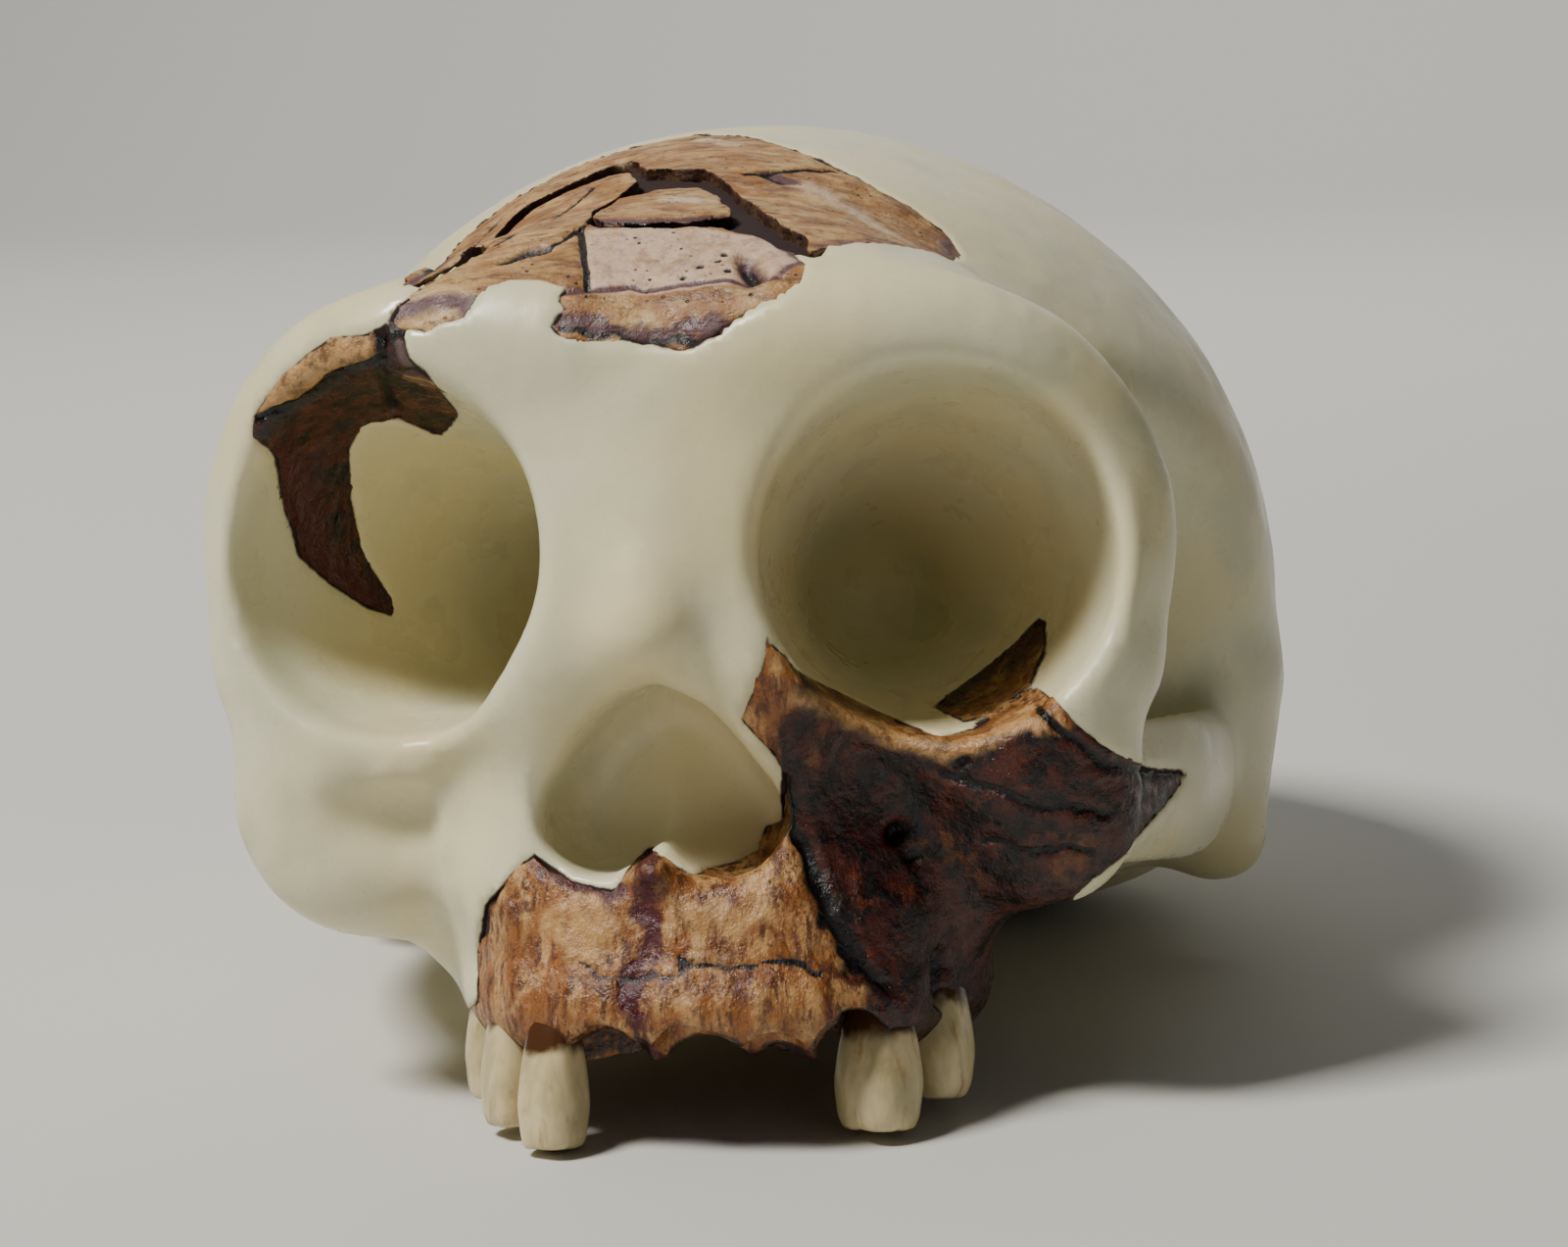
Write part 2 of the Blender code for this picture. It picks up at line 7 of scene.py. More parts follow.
import functools
import logging
import math
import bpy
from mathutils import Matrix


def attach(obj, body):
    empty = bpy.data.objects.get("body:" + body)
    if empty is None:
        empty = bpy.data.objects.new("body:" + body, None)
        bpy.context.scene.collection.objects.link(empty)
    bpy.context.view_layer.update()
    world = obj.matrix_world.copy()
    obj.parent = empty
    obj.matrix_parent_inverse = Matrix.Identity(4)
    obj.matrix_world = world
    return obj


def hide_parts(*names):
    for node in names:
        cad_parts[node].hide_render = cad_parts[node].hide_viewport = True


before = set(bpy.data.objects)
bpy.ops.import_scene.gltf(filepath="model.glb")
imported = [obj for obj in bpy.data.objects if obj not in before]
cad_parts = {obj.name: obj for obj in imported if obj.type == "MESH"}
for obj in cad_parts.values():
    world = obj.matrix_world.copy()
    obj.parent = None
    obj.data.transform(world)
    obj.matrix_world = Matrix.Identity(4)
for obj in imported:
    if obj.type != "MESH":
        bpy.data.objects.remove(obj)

from concurrent.futures import ThreadPoolExecutor
from dataclasses import dataclass
from enum import Enum
from typing import Callable, Sequence

import bmesh
import bpy
import numpy as np
import openvdb
from mathutils import Matrix, Vector

log = logging.getLogger("skull")

Array = np.ndarray
Mesh = bpy.types.Mesh
Material = bpy.types.Material
Socket = bpy.types.NodeSocket
Axes = Sequence[Array]
Field = Callable[[Axes], Array]
Rows = tuple[tuple[float, ...], ...]
Ball = tuple[tuple[float, ...], tuple[float, ...]]
Span = tuple[float, float]
Spot = tuple[float, float, float]
Outline = tuple[Span, ...]

MM = 0.001
REST_TILT = math.radians(11.7)
REST_SHIFT = (0.0, -80.54, 46.18)
MIDLINE_SOFTNESS = 1.5
BLOCK = 12000
CORES = 4


def lay() -> Matrix:
    """The move from the skull's own millimetres to the part's millimetres."""
    return Matrix.Translation(REST_SHIFT) @ Matrix.Rotation(-REST_TILT, 4, "X")


def soft_min(a: Array, b: Array, width: float) -> Array:
    """Union of two fields, filleted.

    Args:
        a: The first field's values.
        b: The second field's values.
        width: Width of the fillet in millimetres.

    Returns:
        The values of the union.
    """
    blend = np.maximum(width - np.abs(a - b), 0.0) / width
    return np.minimum(a, b) - blend * blend * width * 0.25


def soft_max(a: Array, b: Array, width: float) -> Array:
    """Intersection of two fields, rounded over a width."""
    return -soft_min(-a, -b, width)


def ramp(values: Array, start: float, end: float) -> Array:
    """A smooth step from 0 at start to 1 at end."""
    share = np.clip((values - start) / (end - start), 0.0, 1.0)
    return share * share * (3.0 - 2.0 * share)


def blob(p: Axes, shape: Ball) -> Array:
    """Field of an ellipsoid.

    Args:
        p: Coordinates.
        shape: Centre and radii.

    Returns:
        Values, negative inside.
    """
    centre, radii = shape
    near = 0.0
    far = 0.0
    for axis in range(3):
        step = (p[axis] - centre[axis]) / radii[axis]
        near = near + step * step
        far = far + step * step / (radii[axis] * radii[axis])
    near = np.sqrt(near)
    return near * (near - 1.0) / np.sqrt(far + 1e-12)


def smooth_path(rows: Rows, steps: int = 4) -> list[Array]:
    """Points of a Catmull-Rom curve.

    Args:
        rows: Coordinates, with a radius as the last one.
        steps: Points for each stretch between two rows.

    Returns:
        The curve's points, in order.
    """
    knots = [np.array(row, float) for row in rows]
    if len(knots) < 3:
        return knots
    padded = [2 * knots[0] - knots[1], *knots, 2 * knots[-1] - knots[-2]]
    path = []
    for before, start, end, after in zip(padded, padded[1:], padded[2:], padded[3:]):
        for step in range(steps):
            t = step / steps
            bend = (2 * before - 5 * start + 4 * end - after) * t * t
            twist = (3 * start - before - 3 * end + after) * t * t * t
            path.append(0.5 * (2 * start + (end - before) * t + bend + twist))
    return [*path, knots[-1]]


def round_cone(p: Axes, start: Array, end: Array) -> Array:
    """Field of two balls and the cone that wraps them.

    Args:
        p: Coordinates.
        start: First ball, as coordinates and radius.
        end: Last ball, as coordinates and radius.

    Returns:
        Values, negative inside.
    """
    way = end[:-1] - start[:-1]
    length2 = float((way * way).sum())
    shrink = start[-1] - end[-1]
    slant2 = length2 - shrink * shrink
    along = sum((coordinate - at) * step for coordinate, at, step in zip(p, start, way))
    beyond = along - length2
    across2 = 0.0
    for coordinate, at, step in zip(p, start, way):
        offset = (coordinate - at) * length2 - along * step
        across2 = across2 + offset * offset
    along2 = along * along * length2
    beyond2 = beyond * beyond * length2
    edge = math.copysign(shrink * shrink, shrink) * across2
    cone = (np.sqrt(across2 * slant2 / length2) + along * shrink) / length2 - start[-1]
    first = np.sqrt(across2 + along2) / length2 - start[-1]
    last = np.sqrt(across2 + beyond2) / length2 - end[-1]
    values = np.where(np.sign(along) * slant2 * along2 < edge, first, cone)
    return np.where(np.sign(beyond) * slant2 * beyond2 > edge, last, values)


def rod(p: Axes, rows: Rows) -> Array:
    """Field of a rod that runs through rows of coordinates and radius."""
    path = smooth_path(rows)
    values = round_cone(p, path[0], path[1])
    for start, end in zip(path[1:], path[2:]):
        values = np.minimum(values, round_cone(p, start, end))
    return values


def mirrored(p: Axes, centre: float = 0.0) -> Axes:
    """The point folded onto the left half, without a crease at the fold."""
    offset = p[0] - centre
    return np.sqrt(offset * offset + MIDLINE_SOFTNESS), p[1], p[2]


def trail_distance(u: Array, v: Array, trail: Outline) -> Array:
    """Distance to an open line of points in its plane.

    Args:
        u: Places across.
        v: Places up.
        trail: The line's points, in order.

    Returns:
        Distances in millimetres.
    """
    nearest = np.full(u.shape, 1e9)
    for (ax, ay), (bx, by) in zip(trail, trail[1:]):
        ex, ey = bx - ax, by - ay
        share = np.clip(((u - ax) * ex + (v - ay) * ey) / (ex * ex + ey * ey), 0.0, 1.0)
        dx, dy = u - ax - ex * share, v - ay - ey * share
        nearest = np.minimum(nearest, dx * dx + dy * dy)
    return np.sqrt(nearest)


def outline_distance(u: Array, v: Array, corners: Outline) -> Array:
    """Distance to a closed outline in its plane, negative inside.

    Args:
        u: Places across.
        v: Places up.
        corners: The outline's corners, in order.

    Returns:
        Distances in millimetres.
    """
    inside = np.zeros(u.shape, bool)
    closed = corners + corners[:1]
    for (ax, ay), (bx, by) in zip(closed, closed[1:]):
        if by != ay:
            inside ^= ((v < ay) != (v < by)) & (u < ax + (bx - ax) * (v - ay) / (by - ay))
    return np.where(inside, -1.0, 1.0) * trail_distance(u, v, closed)


def grain(p: Axes, size: float, seed: int, octaves: int = 1) -> Array:
    """Smooth noise from -1 to 1 that is the same on every run.

    Args:
        p: Coordinates.
        size: Size of the largest bumps in millimetres.
        seed: Which noise.
        octaves: Layers, each half the size and strength of the last.

    Returns:
        Values of the noise.
    """
    total = 0.0
    strength = 1.0
    for layer in range(octaves):
        places = [coordinate / size + 17.3 * layer for coordinate in p]
        whole = [np.floor(place) for place in places]
        parts = [place - low for place, low in zip(places, whole)]
        parts = [part * part * part * (part * (part * 6 - 15) + 10) for part in parts]
        whole = [low.astype(np.int64) for low in whole]
        for corner in range(8):
            steps = [(corner >> axis) & 1 for axis in range(3)]
            weight = 1.0
            for step, part in zip(steps, parts):
                weight = weight * (part if step else 1.0 - part)
            mixed = seed * 83492791 + layer * 2654435761
            for step, low, prime in zip(steps, whole, (73856093, 19349663, 50331653)):
                mixed = mixed ^ ((low + step) * prime)
            mixed = (mixed ^ (mixed >> 13)) * 1274126177 & 0x7FFFFFFF
            mixed = (mixed ^ (mixed >> 15)) * 668265263 & 0x7FFFFFFF
            total = total + strength * weight * ((mixed >> 7 & 0xFFFF) / 32767.5 - 1.0)
        size *= 0.5
        strength *= 0.5
    return total


@dataclass(frozen=True)
class Braincase:
    """Vault, base, mastoids and the recess of the foramen magnum."""

    vault: Ball = ((0, 86, 18), (64.2, 77, 60.2))
    forehead: Ball = ((0, 47, 24), (41, 47, 40))
    occiput: Ball = ((0, 138, 20), (43, 26, 31))
    cerebellum: Ball = ((23, 112, -8), (27, 25, 14.5))
    temporal_hollow: Ball = ((60, 40, 1), (29, 30, 34))
    base_height: float = -19.0
    nuchal_pivot: Span = (104.0, -19.0)
    nuchal_slope: float = math.radians(23.0)
    mastoid: Rows = ((55, 86, 6, 8.5), (57, 88, -13, 5.8))
    foramen: Ball = ((0, 94, -22), (14, 17, 15))
    condyle: Ball = ((13, 80, -19), (5, 9, 5))

    def field(self, p: Axes, side: Axes) -> Array:
        """Values of the braincase at points and at their mirrored places."""
        values = soft_min(blob(p, self.vault), blob(p, self.forehead), 14.0)
        values = soft_min(values, blob(p, self.occiput), 14.0)
        values = soft_max(values, self.base_height - p[2], 12.0)
        behind = (p[1] - self.nuchal_pivot[0]) * math.sin(self.nuchal_slope)
        above = (p[2] - self.nuchal_pivot[1]) * math.cos(self.nuchal_slope)
        values = soft_max(values, behind - above, 14.0)
        values = soft_min(values, blob(side, self.cerebellum), 16.0)
        values = soft_max(values, -blob(side, self.temporal_hollow), 14.0)
        values = soft_min(values, rod(side, self.mastoid), 8.0)
        values = soft_min(values, blob(side, self.condyle), 3.0)
        return soft_max(values, -blob(p, self.foramen), 3.0)


@dataclass(frozen=True)
class Face:
    """Brow, orbit walls, nose, cheeks and cheek arches."""

    brow: Rows = (
        (0, 5, 40, 6.4), (12, 3.5, 42, 7), (25, 4.5, 43, 6.6), (37, 8.5, 41, 6.2), (45.6, 14, 35, 5.4),
        (50.2, 18, 26, 4.8), (50, 19, 17, 4.7), (47.2, 18, 7, 5.6),
    )
    brow_shelf: Rows = ((0, 15, 41, 13.5), (20, 15, 40.5, 13.0), (34, 18, 38, 10.0))
    nose_bridge: Rows = ((0, 5.5, 32, 5.6), (0, 2.6, 21, 4.6), (0, -1.9, 11, 4.2))
    frontal_process: Rows = (
        (8.5, 6, 32, 4.5), (8.8, 5, 19, 4.5), (12.5, 5.5, 8, 5), (17, 9, -4, 6), (18.5, 11, -14, 7),
    )
    lower_rim: Rows = (
        (12.5, 5.5, 8, 4.6), (21, 8, 0.3, 4.6), (33, 12.5, -4.8, 5), (42.5, 15.5, -1, 6.3),
        (47.2, 18, 7, 5.6),
    )
    cheek: Ball = ((40.5, 19, -7.5), (11.5, 8, 11.5))
    right_cheek: Ball = ((-36, 18.5, -14.5), (11, 8, 9))
    cheek_buttress: Rows = ((41, 20, -10, 6.0), (34, 23, -15, 6.0), (27, 27, -21, 6.0))
    midface: Ball = ((15, 27, -9), (18, 19, 16))
    core: Ball = ((0, 40, 0), (26, 36, 23))
    orbit_wall: Rows = ((30.5, 18, 18.5, 22.5), (20, 44, 16, 13.5))
    pterygoid: Rows = ((14, 57, -4, 5.0), (15, 59, -20, 3.2))
    arch: Rows = (
        (44.5, 22, -7, 8.5), (50.2, 38, -6.8, 8.6), (54.5, 54, -6.2, 9), (56.2, 68, -5, 8.4),
        (55, 80, -2, 8),
    )
    arch_flatness: float = 2.4
    arch_slope: float = 1.6

    def arch_field(self, side: Axes) -> Array:
        """Values of the tall, thin cheek arch."""
        rows = tuple((x * self.arch_flatness, y, z, radius) for x, y, z, radius in self.arch)
        return rod((side[0] * self.arch_flatness, side[1], side[2]), rows) / self.arch_slope

    def field(self, p: Axes, side: Axes) -> Array:
        """Values of the face at points and at their mirrored places."""
        values = soft_min(rod(side, self.orbit_wall), blob(p, self.core), 8.0)
        values = soft_min(values, blob(side, self.midface), 8.0)
        values = soft_min(values, rod(side, self.brow_shelf), 8.0)
        values = soft_min(values, rod(side, self.brow), 6.0)
        for rows in (self.lower_rim, self.frontal_process, self.nose_bridge):
            values = soft_min(values, rod(side, rows), 5.0)
        values = soft_min(values, blob(side, self.cheek), 6.0)
        values = soft_min(values, blob(p, self.right_cheek), 5.0)
        values = soft_min(values, rod(side, self.cheek_buttress), 6.0)
        return soft_min(values, rod(side, self.pterygoid), 6.0)


@dataclass(frozen=True)
class Jaw:
    """Alveolar process and palate, set a little to the skull's left."""

    centre: float = 3.0
    upper: Rows = (
        (0, 9.5, -21, 8), (11, 11, -21, 8), (18, 16, -21, 7.5), (22, 25, -21, 7), (23, 35, -20, 7),
        (22, 43, -19, 6.5),
    )
    lower: Rows = (
        (0, 5, -30.2, 6.2), (10, 6.5, -30.2, 6.2), (17.5, 11.5, -29.8, 6.2), (21.8, 20, -29.3, 6.3),
        (24, 30, -29, 6.4), (24, 40, -28, 6.4),
    )
    palate: Ball = ((3, 33, -36), (16.5, 25, 14))
    sockets: tuple[Ball, ...] = (
        ((-5, 3.2, -37), (3, 3.4, 6)),
        ((4.0, 2.2, -37.4), (3.6, 3.4, 6.6)),
        ((12.8, 4.2, -37.2), (3.4, 3.4, 6.0)),
    )

    def field(self, p: Axes) -> Array:
        """Values of the upper jaw."""
        side = mirrored(p, self.centre)
        values = soft_min(rod(side, self.upper), rod(side, self.lower), 5.0)
        for socket in self.sockets:
            values = soft_max(values, -blob(p, socket), 1.5)
        return soft_max(values, -blob(p, self.palate), 4.0)


@dataclass(frozen=True)
class Hollows:
    """Orbits, nose opening and the hollows beside the nose."""

    orbit: Rows = ((33, -14, 19.5, 18.9), (30.5, 9, 18.5, 18.8), (19, 44, 16, 8.0))
    orbit_skin: Rows = (
        (33, -14, 19.5, 26.5), (30.5, 9, 18.5, 26), (26, 24, 17.5, 18.2), (19, 44, 16, 11),
    )
    nose: Rows = ((0, 2.0, 3.0), (3.2, -2.5, 5.2), (7.0, -9.3, 6.2))
    nose_depth: float = 17.0
    spine: Rows = ((0, 9, -19, 4.5), (0, 2.5, -15.5, 2.2))
    canine: Ball = ((25, 1, -9), (9, 9, 10))

    def cut(self, values: Array, p: Axes, side: Axes) -> Array:
        """The values of a solid face with its hollows taken out."""
        values = soft_max(values, -blob(side, self.canine), 8.0)
        values = soft_max(values, -rod(side, self.orbit), 3.0)
        nose = soft_max(rod((side[0], side[2]), self.nose), side[1] - self.nose_depth, 6.0)
        values = soft_max(values, -nose, 2.0)
        return soft_min(values, rod(p, self.spine), 2.0)


@dataclass(frozen=True)
class Skull:
    """The whole skull as one field."""

    braincase: Braincase = Braincase()
    face: Face = Face()
    jaw: Jaw = Jaw()
    hollows: Hollows = Hollows()

    def solid(self, p: Axes) -> Array:
        """Values of the skull before its hollows are cut."""
        side = mirrored(p)
        values = soft_min(self.braincase.field(p, side), self.face.field(p, side), 14.0)
        values = soft_min(values, self.face.arch_field(side), 4.0)
        return soft_min(values, self.jaw.field(p), 6.0)

    def surface(self, p: Axes) -> Array:
        """Values of the whole skull."""
        return self.hollows.cut(self.solid(p), p, mirrored(p))

    def orbit_skin(self, p: Axes) -> Array:
        """Values of the room around an orbit that its fossil lining takes up."""
        return rod(mirrored(p), self.hollows.orbit_skin)


class Plane(Enum):
    """The two planes that the fossil outlines are drawn on, by their turn."""

    FOREHEAD = math.radians(35.0)
    FACE = math.radians(9.3)

    def place(self, p: Axes) -> tuple[Array, Array, Array]:
        """Place of points on the plane: across, up, and depth along its normal."""
        turn, lean = math.cos(self.value), math.sin(self.value)
        if self is Plane.FOREHEAD:
            return p[0], p[1] * turn + p[2] * lean, p[2] * turn - p[1] * lean
        return p[0] * turn + p[1] * lean, p[2], p[1] * turn - p[0] * lean


@dataclass(frozen=True)
class Prism:
    """An outline drawn on a plane and carried between two depths along its normal."""

    outline: Outline
    plane: Plane
    reach: Span
    bed: float = 0.0
    in_skin: bool = False
    chips: float = 3.2
    seed: int = 11

    def field(self, p: Axes, skull: Skull, solid: Array, ragged: float = 0.0) -> Array:
        """Values of the prism, held to its bed or to the orbit's skin.

        Args:
            p: Coordinates.
            skull: The skull that it is cut from.
            solid: Values of the solid skull at the points.
            ragged: How far the outline wanders in millimetres.

        Returns:
            Values, negative inside.
        """
        u, v, depth = self.plane.place(p)
        values = outline_distance(u, v, self.outline)
        if ragged:
            values = values + ragged * grain(p, self.chips, self.seed, 3)
        values = np.maximum(values, np.maximum(self.reach[0] - depth, depth - self.reach[1]))
        if self.bed:
            values = np.maximum(values, -(solid + self.bed))
        if self.in_skin:
            values = np.maximum(values, skull.orbit_skin(p))
        return values


BED = 4.5
FOREHEAD_REACH = (8.0, 60.0)
FACE_REACH = (-22.0, 46.0)
UPPER = Prism(
    (
        (-27.8, 28.6), (-29, 36), (-31.5, 48), (-33, 60), (-32, 69), (-28, 78), (-22, 86),
        (-14.5, 89.5), (-6, 91), (1.5, 85), (8.3, 77), (14.5, 71.2), (19.6, 67), (24.3, 64.6),
        (28.4, 61.6), (30.2, 58), (29.6, 52), (28, 44.5), (25, 41.4), (21.3, 38.2), (16.9, 34.2),
        (15.6, 38.4), (12.6, 41.2), (9.4, 47.8), (5.6, 55.4), (2.8, 61), (-0.3, 64.6), (-4.2, 65.8),
        (-7.8, 67.4), (-9.8, 72.6), (-12.4, 74.6), (-15.6, 71.6), (-19, 69.6), (-22.6, 67.4),
        (-24.6, 61), (-23.8, 46), (-22.8, 36.4), (-24.6, 31.4),
    ),
    Plane.FOREHEAD, FOREHEAD_REACH, BED,
)
LOWER = Prism(
    (
        (-9.6, 67.2), (-7.6, 62.2), (-9, 56.4), (-10.4, 50.5), (-9.4, 43), (-7.6, 40.2), (-0.7, 39.4),
        (6.2, 39.6), (10.9, 37), (15, 33.4), (17, 30), (17, 26.6), (14.7, 24.4), (10.9, 22.4),
        (7.9, 20.6), (4.9, 20.2), (-2, 21.2), (-8.9, 20.8), (-10.7, 22.2), (-8.8, 23.6), (-9.9, 24.8),
        (-8.9, 26.4), (-13.2, 27.8), (-17, 26.9), (-18.6, 24.8), (-19.6, 23), (-24, 22.8), (-28, 23.8),
        (-28.8, 25.6), (-26.8, 26.8), (-23.6, 30.2), (-21.6, 35), (-22.4, 46), (-23, 57.6),
        (-21.4, 63.6), (-17.8, 65.2), (-14.2, 67.4),
    ),
    Plane.FOREHEAD, FOREHEAD_REACH, BED,
)
SHARD = Prism(
    (
        (-8.9, 43.2), (-9.43, 47), (-9.88, 50.4), (-8.6, 56), (-4.8, 57.8), (0.6, 57.8), (3.2, 53.8),
        (7, 43.6), (2.2, 41.2), (-3.4, 40.8),
    ),
    Plane.FOREHEAD, FOREHEAD_REACH, BED,
)
ORBIT = Prism(
    (
        (-44.6, 35.2), (-42, 38), (-38, 41.4), (-35, 43), (-30.8, 43.2), (-28.4, 44.4), (-26.4, 43.2),
        (-25.8, 40.4), (-24, 38.8), (-21.8, 35.6), (-25, 33.6), (-29.1, 35.2), (-33.2, 34.8), (-35, 32),
        (-35.4, 27), (-34.6, 21), (-31.4, 15.6), (-31, 13.2), (-34, 14), (-38.4, 17), (-41.4, 19.8),
        (-42.8, 26), (-43, 31), (-44.8, 32.6),
    ),
    Plane.FACE, (-20.0, 42.0), in_skin=True,
)
CHEEK = Prism(
    (
        (12.6, 10.2), (16, 6.4), (20.4, 4.6), (26.6, 1.6), (31.6, -0.8), (35.4, 0.4), (39.4, 3.2),
        (42.6, 5), (45.4, 1.4), (48.6, -1.4), (52, -3.2), (57, -4.2), (62, -4.4), (58.4, -8.4),
        (53.4, -13), (47.4, -17.2), (42, -26), (12, -26), (13.6, -13.4), (14.4, -11.8), (14, -7.4),
        (14.2, -4.2), (13, -2.4), (9.8, 0.8), (11.2, 4.2), (12.4, 7.4),
    ),
    Plane.FACE, (-22.0, 32.0),
)
JAW = Prism(
    (
        (-24, -46), (-25, -35), (-19.6, -30), (-19.6, -24.8), (-18.4, -19), (-15.4, -15.8),
        (-12.8, -13.2), (-11.4, -14.2), (-8.2, -16.3), (-3.8, -17.2), (-2.2, -14.6), (-0.2, -12.6),
        (4.6, -15.6), (9.2, -14.4), (11.8, -13.4), (12.2, -10.6), (16, -9.5), (20, -16), (44, -17.5),
        (47, -46),
    ),
    Plane.FACE, (-20.0, 52.0),
)
LINING = Prism(
    (
        (31, 2.6), (35.2, 5.6), (40.2, 9.4), (43.4, 13), (44.4, 12.6), (44.2, 8.8), (42.2, 4.8),
        (38.6, 2), (34.6, 0.4),
    ),
    Plane.FACE, (6.0, 38.0), in_skin=True,
)


def evaluate(values_of: Field, points: Array) -> Array:
    """Values of a field at many points, worked out in blocks on all cores."""
    blocks = [points[start : start + BLOCK] for start in range(0, len(points), BLOCK)]
    with ThreadPoolExecutor(CORES) as pool:
        results = pool.map(lambda block: values_of([block[:, axis].copy() for axis in range(3)]), blocks)
        return np.concatenate(list(results))


def stretched(values: Array, factor: int, axis: int) -> Array:
    """A lattice with more samples along one axis, filled in linearly."""
    first = np.moveaxis(values, axis, 0)
    out = np.empty(((len(first) - 1) * factor + 1, *first.shape[1:]))
    for step in range(factor):
        share = step / factor
        out[step:-1:factor] = first[:-1] * (1.0 - share) + first[1:] * share
    out[-1] = first[-1]
    return np.moveaxis(out, 0, axis)


def settle(shape: bmesh.types.BMesh, mesh: Mesh) -> None:
    """Writes a shape into a mesh, smooth and with its faces outwards, and frees it."""
    bmesh.ops.recalc_face_normals(shape, faces=shape.faces)
    for face in shape.faces:
        face.smooth = True
    shape.to_mesh(mesh)
    shape.free()


def link(name: str, data: bpy.types.ID) -> bpy.types.Object:
    """A new object of the scene that shows some data."""
    item = bpy.data.objects.new(name, data)
    bpy.context.scene.collection.objects.link(item)
    return item


@dataclass(frozen=True)
class Mesher:
    """Turns a field into a closed mesh inside a box, at a given fineness."""

    low: Spot
    high: Spot
    cell: float
    coarse: int = 4
    margin: float = 1.75
    nudge: float = 0.03

    def sample(self, values_of: Field) -> Array:
        """The field on a fine lattice, worked out only near its surface."""
        step = self.cell * self.coarse
        counts = [math.ceil((high - low) / step) + 1 for low, high in zip(self.low, self.high)]
        ticks = [np.arange(count) * step for count in counts]
        places = np.stack(np.meshgrid(*ticks, indexing="ij"), axis=-1)
        fine = evaluate(values_of, places.reshape(-1, 3) + np.array(self.low)).reshape(counts)
        for axis in range(3):
            fine = stretched(fine, self.coarse, axis)
        fine = np.ascontiguousarray(fine)
        near = np.flatnonzero(np.abs(fine) < self.margin * step)
        places = np.stack(np.unravel_index(near, fine.shape), axis=-1) * self.cell + np.array(self.low)
        fine.ravel()[near] = evaluate(values_of, places)
        return fine

    def fitted(self, points: Array, values_of: Field) -> Array:
        """The points moved along the field's slope onto its surface."""
        value = evaluate(values_of, points)
        slope = np.empty_like(points)
        for axis in range(3):
            ahead = points.copy()
            ahead[:, axis] += self.nudge
            slope[:, axis] = (evaluate(values_of, ahead) - value) / self.nudge
        slope /= np.maximum((slope * slope).sum(axis=1), 0.1)[:, None]
        reach = 0.5 * self.cell
        moved = points - np.clip(slope * value[:, None], -reach, reach)
        value = evaluate(values_of, moved)
        return moved - np.clip(slope * value[:, None], -reach, reach)

    def mesh(self, name: str, values_of: Field) -> Mesh:
        """Closed mesh of the field's surface, with its stray crumbs left out.

        Args:
            name: Name of the mesh.
            values_of: The field.

        Returns:
            A mesh in millimetres, with its faces outwards.
        """
        band = 3.0 * self.cell
        volume = openvdb.FloatGrid(band)
        volume.copyFromArray(np.clip(self.sample(values_of), -band, band).astype(np.float32))
        points, quads = volume.convertToQuads(0.0)
        quads = quads.astype(np.int64)
        labels = np.arange(len(points))
        while True:
            lower = labels.copy()
            np.minimum.at(lower, quads.ravel(), np.repeat(labels[quads].min(axis=1), 4))
            lower = lower[lower]
            if (lower == labels).all():
                break
            labels = lower
        body = np.bincount(labels[quads[:, 0]]).argmax()
        quads = quads[labels[quads[:, 0]] == body]
        used, quads = np.unique(quads, return_inverse=True)
        points = self.fitted(np.array(self.low) + points[used].astype(float) * self.cell, values_of)
        mesh = bpy.data.meshes.new(name)
        mesh.from_pydata(points.tolist(), [], quads.reshape(-1, 4).tolist())
        shape = bmesh.new()
        shape.from_mesh(mesh)
        settle(shape, mesh)
        return mesh


def columns(mesh: Mesh) -> list[Array]:
    """The mesh's vertices as three arrays of coordinates."""
    flat = np.empty(len(mesh.vertices) * 3, np.float32)
    mesh.vertices.foreach_get("co", flat)
    return list(flat.reshape(-1, 3).astype(float).T.copy())


def sunk(mesh: Mesh, depth: Array) -> None:
    """Moves each vertex into the mesh, against its normal, by its own depth."""
    normals = np.empty(len(mesh.vertices) * 3, np.float32)
    mesh.vertex_normals.foreach_get("vector", normals)
    points = np.stack(columns(mesh), axis=1) - normals.reshape(-1, 3) * depth[:, None]
    mesh.vertices.foreach_set("co", points.astype(np.float32).ravel())
    mesh.update()


def note(mesh: Mesh, name: str, values: Array) -> None:
    """Stores a value on each vertex for the materials."""
    layer = mesh.attributes.new(name, "FLOAT", "POINT")
    layer.data.foreach_set("value", np.clip(values, 0.0, 1.0).astype(np.float32))


def place(name: str, mesh: Mesh, material: Material, node: str, slot: str) -> bpy.types.Object:
    """Lays a finished mesh into the part's frame, in the place of a solid.

    Args:
        name: Name of the piece.
        mesh: Its mesh, in the skull's millimetres.
        material: Its material.
        node: The solid that it stands for.
        slot: Name of a material slot; not used.

    Returns:
        The piece.
    """
    mesh.transform(Matrix.Scale(MM, 4) @ lay())
    mesh.materials.append(material)
    piece = link(name, mesh)
    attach(piece, "root")
    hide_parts(node)
    log.info("%s: %d vertices", name, len(mesh.vertices))
    return piece


def linear(code: str) -> tuple[float, ...]:
    """A colour for the shader from its six-digit code."""
    parts = [int(code[start : start + 2], 16) / 255.0 for start in (0, 2, 4)]
    return (*[part / 12.92 if part <= 0.04045 else ((part + 0.055) / 1.055) ** 2.4 for part in parts], 1.0)


